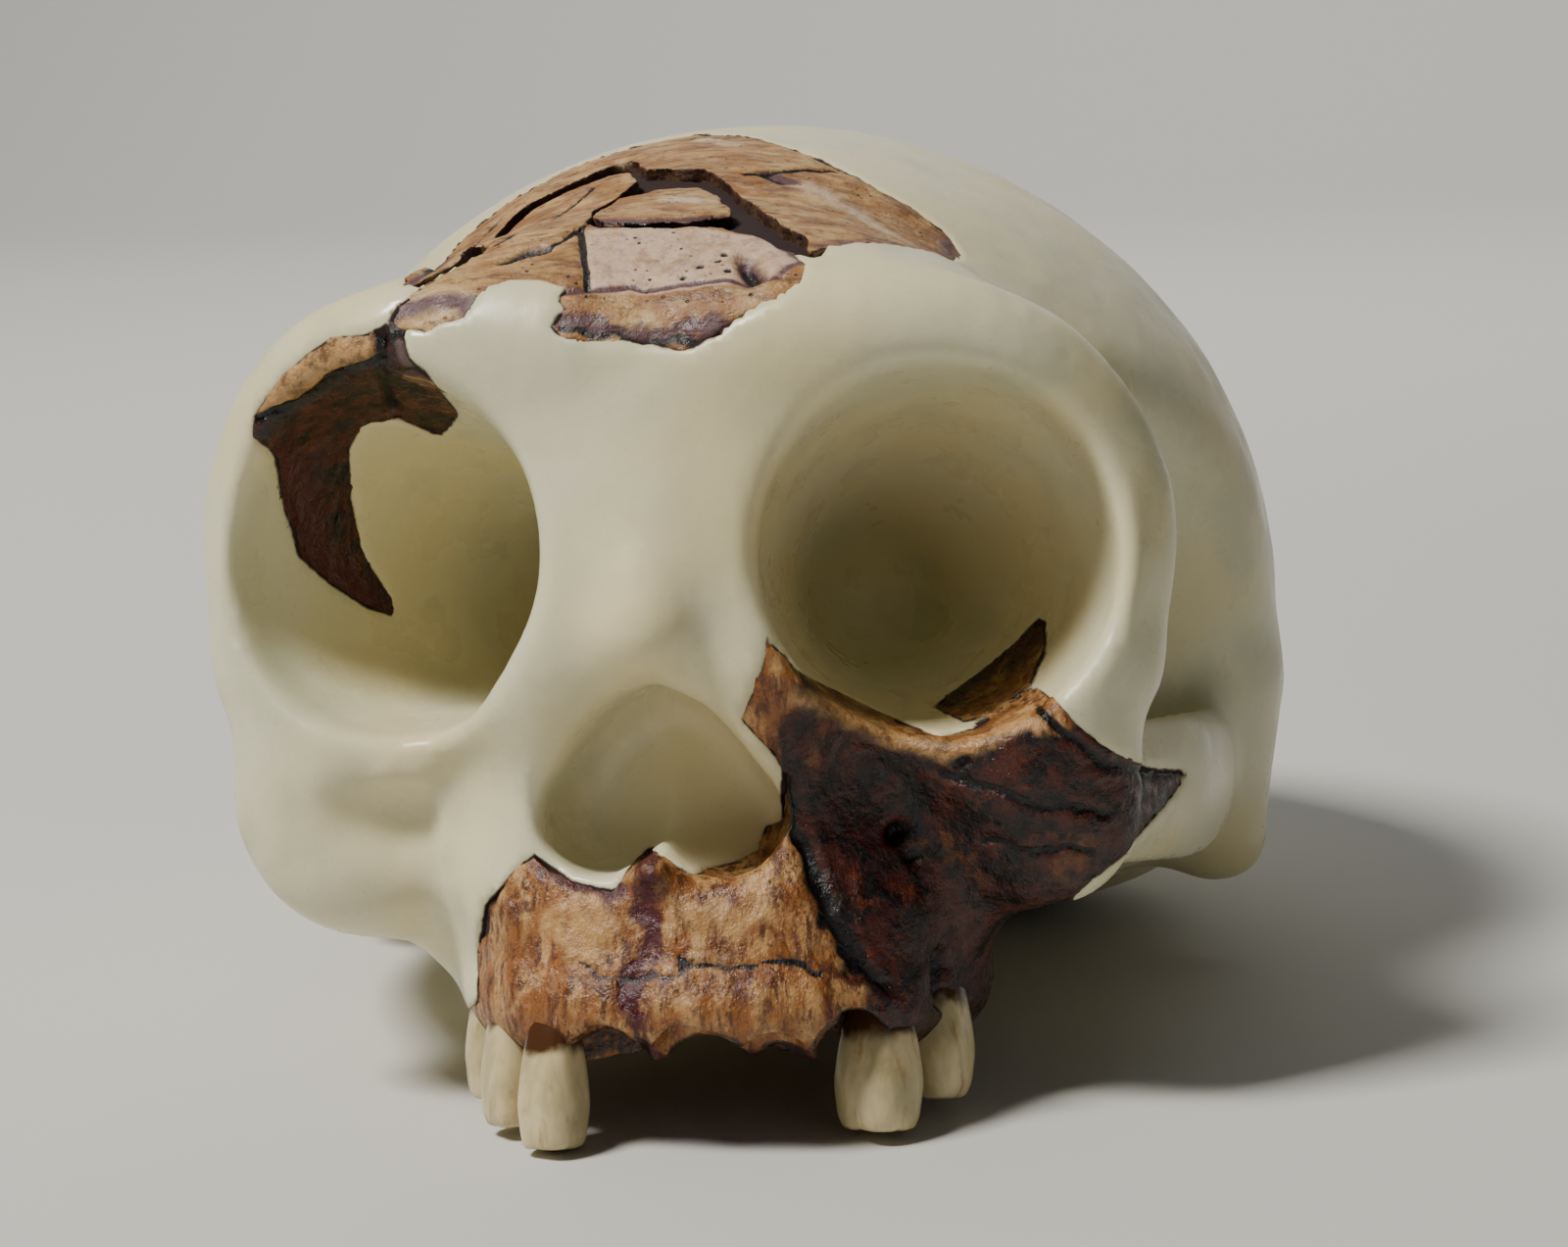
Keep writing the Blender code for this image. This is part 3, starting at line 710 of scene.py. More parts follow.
class Shading:
    """A material that is put together node by node."""

    def __init__(self, name: str) -> None:
        """Starts an empty material, with its coordinates in millimetres."""
        self.material = bpy.data.materials.new(name)
        self.material.use_nodes = True
        self.tree = self.material.node_tree
        self.tree.nodes.clear()
        scale = {0: self.add("ShaderNodeTexCoord").outputs["Object"], "Scale": 1 / MM}
        self.mm = self.add("ShaderNodeVectorMath", {"operation": "SCALE"}, scale).outputs[0]

    def add(self, kind: str, settings: dict | None = None, inputs: dict | None = None) -> bpy.types.Node:
        """Adds a node.

        Args:
            kind: The node's type.
            settings: Values of its properties.
            inputs: Values or sockets for its inputs, by name or number.

        Returns:
            The node.
        """
        node = self.tree.nodes.new(kind)
        for key, value in (settings or {}).items():
            setattr(node, key, value)
        for key, value in (inputs or {}).items():
            if isinstance(value, Socket):
                self.tree.links.new(value, node.inputs[key])
            else:
                node.inputs[key].default_value = value
        return node

    def noise(
        self, size: float, detail: float = 3.0, rough: float = 0.5,
        stretch: Spot = (1, 1, 1), warp: float = 0.0,
    ) -> Socket:
        """Noise of bumps of a size in millimetres.

        Args:
            size: Size of the largest bumps.
            detail: Layers of finer bumps.
            rough: How strong the finer bumps are.
            stretch: How often the bumps repeat along each axis.
            warp: How far the bumps are bent.

        Returns:
            The noise, about 0.5 in the middle.
        """
        inputs = {"Vector": self.mm, "Scale": [part / size for part in stretch]}
        scaled = self.add("ShaderNodeMapping", None, inputs).outputs[0]
        inputs = {"Vector": scaled, "Scale": 1.0, "Detail": detail, "Roughness": rough, "Distortion": warp}
        return self.add("ShaderNodeTexNoise", None, inputs).outputs[0]

    def cells(self, size: float) -> Socket:
        """Distance to the nearest of many scattered points, in shares of a size in millimetres."""
        inputs = {"Vector": self.mm, "Scale": 1 / size}
        return self.add("ShaderNodeTexVoronoi", None, inputs).outputs["Distance"]

    def crisp(self, name: str, start: float, end: float, wander: float) -> Socket:
        """A mask from a value stored on the vertices, with a wandering edge.

        Args:
            name: Name of the stored value.
            start: The value at which the mask starts to rise.
            end: The value at which it is full.
            wander: How far noise moves the value.

        Returns:
            The mask, from 0 to 1.
        """
        stored = self.add("ShaderNodeAttribute", {"attribute_name": name}).outputs["Fac"]
        waves = self.math("MULTIPLY", self.math("SUBTRACT", self.noise(1.3, 3, 0.65), 0.5), wander)
        return self.step(self.math("ADD", stored, waves), start, end)

    def math(self, operation: str, a: Socket | float, b: Socket | float) -> Socket:
        """The result of an operation on two values."""
        return self.add("ShaderNodeMath", {"operation": operation}, {0: a, 1: b}).outputs[0]

    def step(self, value: Socket, start: float, end: float, low: float = 0.0, high: float = 1.0) -> Socket:
        """A smooth step from low, where a value is at start, to high, where it is at end."""
        inputs = {"Value": value, "From Min": start, "From Max": end, "To Min": low, "To Max": high}
        return self.add("ShaderNodeMapRange", {"interpolation_type": "SMOOTHSTEP"}, inputs).outputs[0]

    def mix(self, share: Socket, a: Socket | str, b: Socket | str) -> Socket:
        """A blend of two colours, given as codes or sockets.

        Args:
            share: How much of the second colour shows.
            a: The first colour.
            b: The second colour.

        Returns:
            The blended colour.
        """
        node = self.add("ShaderNodeMix", {"data_type": "RGBA"}, {"Factor": share})
        colours = [socket for socket in node.inputs if socket.type == "RGBA"]
        for socket, colour in zip(colours, (a, b)):
            if isinstance(colour, str):
                socket.default_value = linear(colour)
            else:
                self.tree.links.new(colour, socket)
        return next(socket for socket in node.outputs if socket.type == "RGBA")

    def mottle(
        self, under: Socket | str, over: str, value: Socket, start: float, end: float, most: float = 1.0
    ) -> Socket:
        """A colour with patches of another where a value is high.

        Args:
            under: The colour below.
            over: The colour of the patches.
            value: The value.
            start: The value at which the patches start to show.
            end: The value at which they show most.
            most: How much they show there.

        Returns:
            The mottled colour.
        """
        return self.mix(self.step(value, start, end, 0.0, most), under, over)

    def relief(self, *layers: tuple[Socket, float, float]) -> Socket:
        """Bumps on bumps, from rows of height, distance in millimetres and strength."""
        normal = {}
        for height, distance, strength in layers:
            inputs = {"Height": height, "Distance": distance * MM, "Strength": strength}
            normal = {"Normal": self.add("ShaderNodeBump", None, inputs | normal).outputs[0]}
        return normal["Normal"]

    def close(self, inputs: dict) -> Material:
        """Ends the tree in its surface and returns the material."""
        shader = self.add("ShaderNodeBsdfPrincipled", None, inputs)
        output = self.add("ShaderNodeOutputMaterial")
        self.tree.links.new(shader.outputs[0], output.inputs["Surface"])
        return self.material


class Label(Enum):
    """What a mark stores on a piece for its material."""

    NONE = ""
    CRACK = "crack"
    # Pale bone; on the face pieces partly painted highlight.
    PALE_AND_HIGHLIGHT = "pale"
    STAIN = "stain"
    # Dark bone, partly painted shade.
    DARK_AND_SHADE = "dark_and_shade"
    PURPLE = "purple"
    GRIME = "grime"


@dataclass(frozen=True)
class Mark:
    """A crack, pit, swelling, stain, painted highlight or painted shade: a spot, a line or an area on the
    plane of the outlines.
    """

    trail: Outline
    width: float
    depth: float = 0.0
    label: Label = Label.CRACK
    area: bool = False
    wander: float = 0.35
    strength: float = 1.0

    def share(self, u: Array, v: Array, waves: Axes) -> Array:
        """How strong the mark is at places, from 0 to its strength.

        Args:
            u: Places across the plane.
            v: Places up the plane.
            waves: Two noises that make the mark wander.

        Returns:
            The mark's strength at each place.
        """
        u, v = u + self.wander * waves[0], v + self.wander * waves[1]
        if self.area:
            distance = outline_distance(u, v, self.trail)
        elif len(self.trail) == 1:
            distance = np.sqrt((u - self.trail[0][0]) ** 2 + (v - self.trail[0][1]) ** 2)
        else:
            distance = trail_distance(u, v, self.trail)
        return self.strength * np.clip(1.0 - distance / self.width, 0.0, 1.0)


@dataclass(frozen=True)
class Notch:
    """A broken tooth socket: a round bite through the jaw's front wall, seen along the face's plane."""

    u: float
    v: float
    radius: float
    back: float = 7.0
    ragged: float = 0.5

    def field(self, p: Axes) -> Array:
        """Values of the bite, negative inside."""
        u, v, depth = Plane.FACE.place(p)
        across = np.sqrt((u - self.u) ** 2 + (v - self.v) ** 2) - self.radius
        return np.maximum(across + self.ragged * grain(p, 2.4, 61, 2), depth - self.back)


def dress(mesh: Mesh, plane: Plane, marks: Sequence[Mark], reach: Span, under: Array) -> None:
    """Sinks a mesh under its marks and stores what they say for the material.

    Args:
        mesh: The mesh, in the skull's millimetres.
        plane: The plane that the marks are drawn on.
        marks: The marks.
        reach: Depths along the plane's normal between which the marks count.
        under: How far each vertex sinks without any mark.
    """
    p = columns(mesh)
    u, v, depth = plane.place(p)
    waves = [grain(p, 2.6, seed, 2) for seed in (51, 52)]
    near = (depth > reach[0]) & (depth < reach[1])
    values = {label: np.zeros(len(u)) for label in Label}
    for mark in marks:
        share = np.where(near, mark.share(u, v, waves), 0.0)
        values[mark.label] = np.maximum(values[mark.label], share)
        under = under + mark.depth * share * share * (3.0 - 2.0 * share)
    sunk(mesh, under)
    for label, stored in values.items():
        if label.value and label.value not in mesh.attributes:
            note(mesh, label.value, stored)


FOREHEAD_JOINT = Mark(
    (
        (-15, 75), (-12.4, 77.8), (-7.6, 70.8), (3.5, 62), (16.9, 39), (17.4, 33), (10, 37.5),
        (-8.5, 39), (-10.5, 45), (-9.5, 66), (-15, 67), (-21.6, 62), (-22.4, 46), (-21.8, 36),
        (-25.6, 29.6), (-25.4, 60), (-22.6, 68),
    ),
    1.0, 1.7, Label.GRIME, True, 0.0,
)
CAST_MARKS = (
    Mark(((-29, -4.6), (-25.2, -5.4), (-23, -9), (-22.6, -13)), 2.6, -0.6, Label.NONE, wander=0),
    Mark(((-33, -9.6), (-29, -10.4)), 6.5, 1.3, Label.NONE, wander=0),
)
UPPER_MARKS = (
    Mark(((5.4, 63.2), (9.2, 65.8), (14.7, 70.2)), 0.8, 0.4),
    Mark(((7.2, 64.6), (10.4, 62.4)), 2, 0.35, Label.STAIN),
    Mark(((7.4, 63.4), (9.6, 61.6)), 1.1, 0.5),
    Mark(
        ((-27, 36), (-28.2, 44), (-29.2, 52), (-29, 60), (-26.8, 68), (-21.4, 75), (-15, 79.4)),
        1.3, 0.9,
    ),
    Mark(((-27, 30), (-26, 38), (-26.6, 50)), 1.8, 0.4, Label.STAIN),
    Mark(((-10.5, 74.8), (-12.8, 76.4)), 2, 0.9),
    Mark(((28.6, 60), (29.2, 54)), 3.6, 0, Label.STAIN, strength=0.7),
    Mark(((17.5, 36), (22, 40.4), (26.6, 45)), 2.4, 0, Label.STAIN, strength=0.6),
    Mark(((-4, 84), (1, 78)), 2.6, 0, Label.PALE_AND_HIGHLIGHT, strength=0.8),
    Mark(((12, 62), (19, 56), (25, 50)), 4.5, 0, Label.PALE_AND_HIGHLIGHT, strength=0.55),
)
LOWER_MARKS = (
    Mark(((-9.9, 41), (-8.4, 34.7), (-7.3, 30.1), (-6.5, 26.6)), 0.8, 0.5, wander=0.15),
    Mark(((10.2, 31.2), (11.6, 27.8)), 2.4, 1.3, Label.STAIN),
    Mark(((10.4, 30.6), (11.4, 28.4)), 1.2, 0.4),
    *(Mark((pit,), 0.9, 0.5) for pit in ((5.2, 30.4), (6.9, 31.4), (8.2, 29.2), (7.4, 33), (3.6, 28.6))),
    Mark(((-10.4, 25.2), (-2.2, 27), (7.5, 26.8), (14.5, 27)), 1, 0.2, Label.STAIN, wander=0.7),
    Mark(
        (
            (-8.4, 39), (2.4, 38.8), (11.5, 36.2), (15.6, 31), (14.4, 27.6), (10, 27), (3.2, 27),
            (-5.9, 26.8), (-7.2, 30.4),
        ),
        1.4, 0, Label.PALE_AND_HIGHLIGHT, True,
    ),
    Mark(
        ((-10.1, 22.4), (-3.9, 22), (2.6, 21.6), (9.1, 21.8)),
        1.7, 0.2, Label.STAIN, wander=0.8, strength=0.9,
    ),
    Mark(((-9, 21.4), (0, 21.2), (6, 20.6)), 0.8, 0.2, wander=0.6, strength=0.8),
    Mark(
        ((-28.1, 25.1), (-24.8, 25.6), (-20.4, 25.2), (-19.2, 23.8)),
        2.2, 0.2, Label.STAIN, strength=0.9,
    ),
    Mark(((-16.9, 33.6), (-15.2, 35.2), (-13.7, 35.4)), 2, 1.3),
    Mark(((-13.7, 35.4), (-11.1, 37.6), (-9.6, 42)), 0.9, 0.5),
    Mark(((-19.6, 40), (-17, 48), (-15.4, 57), (-13.4, 64)), 0.8, 0.35, strength=0.9),
    Mark(((-22, 38.4), (-22.2, 42)), 1.9, 1.2),
    Mark(((14.6, 28), (16.4, 31), (13.8, 34.6)), 1.6, 0.1, Label.STAIN, strength=0.8),
)
SHARD_MARKS = (
    Mark(((-9, 44.2), (-3.6, 41.8), (2.2, 42.2), (6.4, 44)), 1.9, 0.5, Label.STAIN, wander=0.2),
    Mark(((-8.8, 43.6), (-3.6, 41.2), (2.2, 41.6), (6.8, 43.6)), 0.9, 0.3, wander=0.2),
    Mark(((-2, 52), (3, 50)), 3, 0, Label.PALE_AND_HIGHLIGHT, strength=0.8),
)
ORBIT_MARKS = (
    # The whole orbit piece takes the dark colouring, partly painted shade.
    Mark(((-60, 0), (-10, 0), (-10, 60), (-60, 60)), 1, 0, Label.DARK_AND_SHADE, True),
    # Pale along the orbit's upper rim, partly painted highlight.
    Mark(
        ((-44, 36), (-42, 38.4), (-38, 41.6), (-35, 43), (-31.4, 43.4), (-30.6, 41),
         (-34, 38.8), (-40, 36.4)),
        1.3, 0, Label.PALE_AND_HIGHLIGHT, True, 0.5,
    ),
    Mark(((-43.8, 34.6), (-40, 35.8), (-36, 37.6), (-31.4, 39.6), (-29.6, 40)), 0.9, 0.6),
    Mark(((-29.6, 43.4), (-29.4, 39.6), (-29.8, 36.4)), 1, 0.7),
    Mark(((-28.4, 38), (-24, 38)), 1, 0.6),
    Mark(((-27.4, 41.6), (-26.6, 39.4)), 1.3, 0, Label.STAIN, strength=0.9),
    Mark(((-41, 30), (-40, 20), (-34, 14.6)), 4, 0.2, Label.PURPLE, strength=0.8),
)
FACE_MARKS = (
    # Red-brown to black over the cheek, partly painted shade.
    Mark(
        (
            (15, -4.9), (17.8, -14.4), (22.6, -24), (25.6, -34), (44, -34), (41, -23), (48.8, -17),
            (64, -9.4), (64, -3.4), (46.2, -0.6), (33.6, -3.4), (23.1, -1.2), (16.4, 4.6),
        ),
        2.6, 0, Label.DARK_AND_SHADE, True, 1.8,
    ),
    # Dark strip along the orbit's lining, partly painted shade.
    Mark(((31, 3), (36, 6.6), (41, 10.4), (44.6, 13.6)), 3.4, 0, Label.DARK_AND_SHADE, wander=0.6),
    # Pale along the orbit's lower rim, partly painted highlight.
    Mark(
        ((16, 3.4), (19.9, 2.2), (25.2, -0.4), (31.5, -2.6), (36.8, -1.2), (40.8, 1.4)),
        2.4, -0.1, Label.PALE_AND_HIGHLIGHT, strength=0.7,
    ),
    Mark(
        ((14.6, -5.9), (15.9, -10.2), (17.5, -14.1), (18.7, -18.1), (20.9, -21.7),
         (23.1, -25.3), (25.7, -27.6)),
        1.9, 0.9, wander=0.6,
    ),
    Mark(((27.1, -11.2),), 2.1, 2.2),
    Mark(((28.9, -14),), 1.4, 1.2),
    Mark(((33.6, -3.8),), 1.8, 1),
    Mark(((32.1, -25), (32, -27.5), (32.5, -30)), 1.6, 1.9, wander=0.2),
    Mark(((3, -24.7), (8.8, -25.6), (13.6, -24.5), (18.6, -25.4)), 0.8, 0.45, wander=0.9, strength=0.8),
    Mark(((-9, -25.2), (-2.2, -27.1), (1, -26), (4.1, -25)), 0.7, 0.35, wander=0.9, strength=0.7),
    Mark(((-0.1, -13.5), (-0.5, -18.4)), 2.6, 0.3, Label.PURPLE, wander=0.5),
    Mark(
        ((-0.8, -18.4), (-0.4, -24.7), (-1.6, -28.9), (-0.6, -34.6)),
        2.6, 0.5, Label.PURPLE, wander=1.6, strength=0.8,
    ),
    Mark(((42.2, 2.6), (45.1, -0.6), (49.5, -3.9), (56.7, -5), (62.7, -4.3)), 0.9, 0.4),
    Mark(((31.5, -4.8), (36.8, -6.9), (42, -8.2), (50.5, -9.1)), 0.9, 0.5, wander=0.6),
    Mark(((36, -12), (42, -13.4), (49, -13)), 0.8, 0.4, wander=0.6),
    Mark(
        ((-12.3, -13.6), (-11, -15.1), (-7.7, -16.8), (-3.4, -17.2)),
        1.7, 0.3, Label.PURPLE, wander=0.6,
    ),
    Mark(((-19.4, -22.8), (-18.7, -18.9), (-17.2, -16.7)), 1.5, 0.5, wander=0.6, strength=0.9),
    # Pale root swellings on the upper jaw, partly painted highlight.
    Mark(
        ((-10.9, -20.8), (-6.6, -18.6), (-4.4, -21.2), (-7.6, -24.4)),
        2.4, -0.15, Label.PALE_AND_HIGHLIGHT, True, 0.8,
    ),
    Mark(((5, -19), (9, -20.6), (13, -20)), 2.6, -0.15, Label.PALE_AND_HIGHLIGHT, wander=0.8, strength=0.9),
    Mark(((4.4, -29), (4.8, -32.6)), 2, -0.3, Label.PALE_AND_HIGHLIGHT, strength=0.8),
    Mark(((11.8, -28), (12, -33)), 2.2, -0.3, Label.PALE_AND_HIGHLIGHT, strength=0.6),
    Mark(((-15.5, -21), (-15, -27), (-13.6, -34)), 3, -0.4, Label.NONE),
    Mark(((-8.6, -24), (-8.2, -31)), 2.4, -0.3, Label.NONE),
    Mark(((18, -27), (19.4, -32)), 2.6, -0.35, Label.NONE),
    Mark(((28.5, -19), (29.2, -31)), 2.6, -0.4, Label.NONE),
    Mark(((36.4, -22), (36, -30)), 2.6, -0.4, Label.NONE),
    Mark(((-21, -34.4), (-16, -35.6), (-10.5, -36.6)), 2.2, 0.2, Label.PURPLE, wander=0.6),
    Mark(
        ((-1, -33), (1.4, -36.4), (10.8, -35.4), (17, -35.6), (19.6, -34.8)),
        1.7, 0.1, Label.PURPLE, wander=0.6,
    ),
)
SOCKETS = (
    Notch(-4.6, -37.6, 4.9), Notch(6.4, -37.9, 4.8), Notch(14.4, -38, 3.4), Notch(22.4, -34.4, 4, 12),
)


@dataclass(frozen=True)
class CastFinish:
    """Smooth cream resin with faint brush marks, and dirt where it meets the fossil."""

    base: str = "dbd7b6"
    warm: str = "e2d6a8"
    cool: str = "c2c4a4"
    speck: str = "8f8a68"
    grime: str = "2a1a18"
    roughness: float = 0.3

    def material(self) -> Material:
        """The material of the cast."""
        s = Shading("cast_resin")
        colour = s.mottle(self.base, self.warm, s.noise(26, 2), 0.35, 0.65)
        colour = s.mottle(colour, self.cool, s.noise(11, 3), 0.5, 0.75, 0.55)
        colour = s.mottle(colour, self.speck, s.noise(0.7, 3, 0.7), 0.55, 0.8, 0.16)
        colour = s.mix(s.crisp("grime", 0.5, 0.6, 0.14), colour, self.grime)
        brushed = s.noise(2.2, 3, 0.6, (0.25, 1, 1))
        fine = s.noise(0.5, 3, 0.6)
        normal = s.relief((s.noise(7, 2), 0.5, 0.5), (brushed, 0.04, 0.5), (fine, 0.03, 0.5))
        rough = s.step(s.noise(7, 3), 0.3, 0.7, self.roughness - 0.06, self.roughness + 0.1)
        rough = s.math("MAXIMUM", rough, s.crisp("grime", 0.45, 0.55, 0.14))
        return s.close({
            "Base Color": colour, "Roughness": rough, "Normal": normal, "Specular IOR Level": 0.5,
            "Subsurface Weight": 0.06, "Subsurface Radius": (0.003, 0.0022, 0.0014),
            "Subsurface Scale": 1.0,
        })


@dataclass(frozen=True)
class ForeheadFinish:
    """Mineralised bone of the forehead: tan and ochre with purple-brown stain and dark cracks."""

    tan: str = "bd9762"
    ochre: str = "966636"
    brown: str = "68452c"
    straw: str = "dcbd84"
    pale: str = "cdb094"
    mauve: str = "a07f78"
    stain: str = "57383a"
    edge: str = "3a2224"
    pore: str = "2c1a1a"
    dark: str = "140a0c"
    roughness: float = 0.5

    def material(self) -> Material:
        """The material of the forehead's plates."""
        s = Shading("forehead_bone")
        fibres = s.noise(1.6, 5, 0.7, (0.3, 1, 1), 0.4)
        colour = s.mottle(self.tan, self.ochre, s.noise(7, 4, 0.6), 0.36, 0.62)
        colour = s.mottle(colour, self.brown, fibres, 0.46, 0.64, 0.85)
        colour = s.mottle(colour, self.straw, s.noise(2.6, 5, 0.65, (0.5, 1, 1)), 0.52, 0.68, 0.45)
        worn = s.step(s.noise(3, 4, 0.65), 0.32, 0.56, 0.3, 1.0)
        pale = s.math("MULTIPLY", s.crisp("pale", 0.25, 0.6, 0.3), worn)
        colour = s.mix(pale, colour, self.pale)
        mauve = s.math("MULTIPLY", pale, s.step(s.noise(1.4, 4, 0.7), 0.5, 0.66, 0.0, 0.8))
        colour = s.mix(mauve, colour, self.mauve)
        colour = s.mottle(colour, self.stain, s.noise(3.2, 5, 0.72), 0.6, 0.72, 0.6)
        colour = s.mix(s.crisp("stain", 0.25, 0.75, 0.5), colour, self.stain)
        colour = s.mix(s.math("MULTIPLY", s.crisp("edge", 0.74, 1.0, 0.5), 0.85), colour, self.edge)
        pores = s.step(s.cells(1.3), 0.1, 0.24, 1.0, 0.0)
        pores = s.math("MULTIPLY", pores, s.step(s.noise(4, 2), 0.48, 0.6))
        colour = s.mix(pores, colour, self.pore)
        colour = s.mix(s.crisp("crack", 0.3, 0.62, 0.35), colour, self.dark)
        normal = s.relief(
            (s.noise(2.4, 4, 0.6), 0.7, 0.7), (fibres, 0.25, 0.6), (s.noise(0.45, 4, 0.7), 0.14, 0.6),
            (s.math("SUBTRACT", 1.0, pores), 0.2, 0.7),
        )
        rough = s.step(s.noise(2, 3), 0.3, 0.7, self.roughness - 0.18, self.roughness + 0.1)
        return s.close({"Base Color": colour, "Roughness": rough, "Normal": normal})


@dataclass(frozen=True)
class FaceBoneFinish:
    """Mineralised bone of the face: orange-ochre over the teeth, red-brown to near black on the cheek
    (partly painted shade), cream rims partly painted highlight.
    """

    ochre: str = "8c5626"
    cream: str = "c29660"
    brown: str = "4e2614"
    rust: str = "62341c"
    red: str = "461a0e"
    orange: str = "6a3016"
    black: str = "0b0607"
    purple: str = "47141a"
    stain: str = "63504c"
    edge: str = "1d0f10"
    roughness: float = 0.36

    def material(self) -> Material:
        """The material of the cheek, the upper jaw and the orbit's lining."""
        s = Shading("face_bone")
        fibres = s.noise(1.5, 5, 0.7, (1.2, 1, 0.35), 0.4)
        light = s.mottle(self.ochre, self.cream, s.noise(3.4, 5, 0.65, (1.2, 1, 0.5)), 0.42, 0.66)
        light = s.mottle(light, self.brown, fibres, 0.46, 0.62, 0.9)
        light = s.mottle(light, self.rust, s.noise(5, 4, 0.6), 0.56, 0.7, 0.6)
        light = s.mottle(light, self.red, s.noise(0.8, 4, 0.7), 0.56, 0.68, 0.75)
        # The dark colouring: real red-brown and black, made darker as painted shade on the cheek and in the
        # orbits.
        dark_and_shade = s.mottle(self.red, self.black, s.noise(3.6, 5, 0.65), 0.38, 0.6)
        dark_and_shade = s.mottle(dark_and_shade, self.orange, s.noise(1.8, 5, 0.7, (0.5, 1, 1)), 0.54, 0.7, 0.75)
        dark_and_shade = s.mottle(dark_and_shade, self.ochre, s.noise(6, 5, 0.65), 0.57, 0.72, 0.55)
        colour = s.mix(s.crisp("dark_and_shade", 0.2, 0.8, 0.5), light, dark_and_shade)
        # Cream where pale is stored, broken into patches: partly real ochre-cream, partly painted highlight
        # on the rims and root swellings.
        worn = s.step(s.noise(1.8, 4, 0.7), 0.35, 0.6, 0.25, 0.9)
        colour = s.mix(s.math("MULTIPLY", s.crisp("pale", 0.2, 0.7, 0.4), worn), colour, self.cream)
        worn = s.step(s.noise(2.4, 4, 0.7), 0.3, 0.5, 0.35, 1.0)
        colour = s.mix(s.math("MULTIPLY", s.crisp("purple", 0.2, 0.6, 0.5), worn), colour, self.purple)
        colour = s.mix(s.crisp("stain", 0.25, 0.75, 0.5), colour, self.stain)
        colour = s.mix(s.math("MULTIPLY", s.crisp("edge", 0.78, 1.05, 0.55), 0.85), colour, self.edge)
        colour = s.mix(s.crisp("crack", 0.3, 0.62, 0.35), colour, self.black)
        normal = s.relief(
            (s.noise(1.9, 4, 0.62), 0.8, 0.7), (fibres, 0.35, 0.6), (s.noise(0.45, 4, 0.7), 0.16, 0.6)
        )
        rough = s.step(s.noise(1.6, 3), 0.3, 0.7, self.roughness - 0.18, self.roughness + 0.16)
        return s.close({"Base Color": colour, "Roughness": rough, "Normal": normal})


@dataclass(frozen=True)
class EnamelFinish:
    """Worn enamel: ivory crowns, brown where they meet the jaw."""

    ivory: str = "d8c79a"
    grey: str = "b3a67c"
    amber: str = "9a6f3c"
    neck: str = "4a2d18"
    roughness: float = 0.24

    def material(self) -> Material:
        """The material of the teeth."""
        s = Shading("worn_enamel")
        colour = s.mottle(self.ivory, self.grey, s.noise(3, 3, 0.5, (1, 1, 0.4)), 0.35, 0.65)
        colour = s.mottle(colour, self.amber, s.noise(2, 4, 0.6, (1, 1, 0.4)), 0.54, 0.72, 0.6)
        colour = s.mix(s.crisp("neck", 0.15, 0.9, 0.5), colour, self.neck)
        normal = s.relief((s.noise(1.4, 3, 0.6, (1, 1, 0.3)), 0.12, 0.6))
        return s.close({
            "Base Color": colour, "Roughness": self.roughness, "Normal": normal,
            "Subsurface Weight": 0.08, "Subsurface Radius": (0.0018, 0.0012, 0.0008),
            "Subsurface Scale": 1.0,
        })


def united(prisms: Sequence[Prism], p: Axes, skull: Skull, solid: Array, ragged: float = 0.0) -> Array:
    """Values of several prisms together.

    Args:
        prisms: The prisms.
        p: Coordinates.
        skull: The skull that they are cut from.
        solid: Values of the solid skull at the points.
        ragged: How far the outlines wander in millimetres.

    Returns:
        Values, negative inside.
    """
    return functools.reduce(np.minimum, (prism.field(p, skull, solid, ragged) for prism in prisms))


@dataclass(frozen=True)
class Cast:
    """The pale cast of the whole skull, open where the fossil pieces sit."""

    cell: float = 1.15
    inset: float = 0.3
    lap: float = 1.9
    seat: float = 1.0
    seam: float = 3.2
    ripple: float = 0.1
    low: Spot = (-72.0, -14.0, -46.0)
    high: Spot = (72.0, 172.0, 84.0)
    marked: Span = (-20.0, 30.0)
    fossils: tuple[Prism, ...] = (UPPER, LOWER, SHARD, ORBIT, CHEEK, JAW, LINING)

    def joint(self, p: Axes, solid: Array) -> Array:
        """How far a point lies in the open joints between the forehead's plates, from 0 to 1."""
        u, v, depth = Plane.FOREHEAD.place(p)
        outside = (depth > FOREHEAD_REACH[0]) & (solid > -BED)
        return np.where(outside, FOREHEAD_JOINT.share(u, v, (0.0, 0.0)), 0.0)

    def field(self, skull: Skull) -> Field:
        """Field of the cast."""

        def values_of(p: Axes) -> Array:
            """Values at points."""
            solid = skull.solid(p)
            pocket = united(self.fossils, p, skull, solid)
            values = skull.hollows.cut(solid, p, mirrored(p)) + self.inset
            values = values + self.seat * ramp(-pocket, 0.1, 1.1)
            values = values + FOREHEAD_JOINT.depth * self.joint(p, solid)
            return np.maximum(values, -(pocket + self.lap))

        return values_of

    def build(self, skull: Skull, finish: CastFinish) -> bpy.types.Object:
        """Makes the cast.

        Args:
            skull: The skull's field.
            finish: The cast's finish.

        Returns:
            The piece.
        """
        mesh = Mesher(self.low, self.high, self.cell).mesh("cast", self.field(skull))
        p = columns(mesh)
        solid = skull.solid(p)
        seam = 0.5 - united(self.fossils, p, skull, solid) / self.seam
        note(mesh, Label.GRIME.value, np.maximum(seam, self.joint(p, solid)))
        ripples = self.ripple * np.maximum(grain(p, 7.0, 3, 2), -1.0)
        dress(mesh, Plane.FACE, CAST_MARKS, self.marked, ripples)
        return place("cast_surface", mesh, finish.material(), "cranium", "cast")


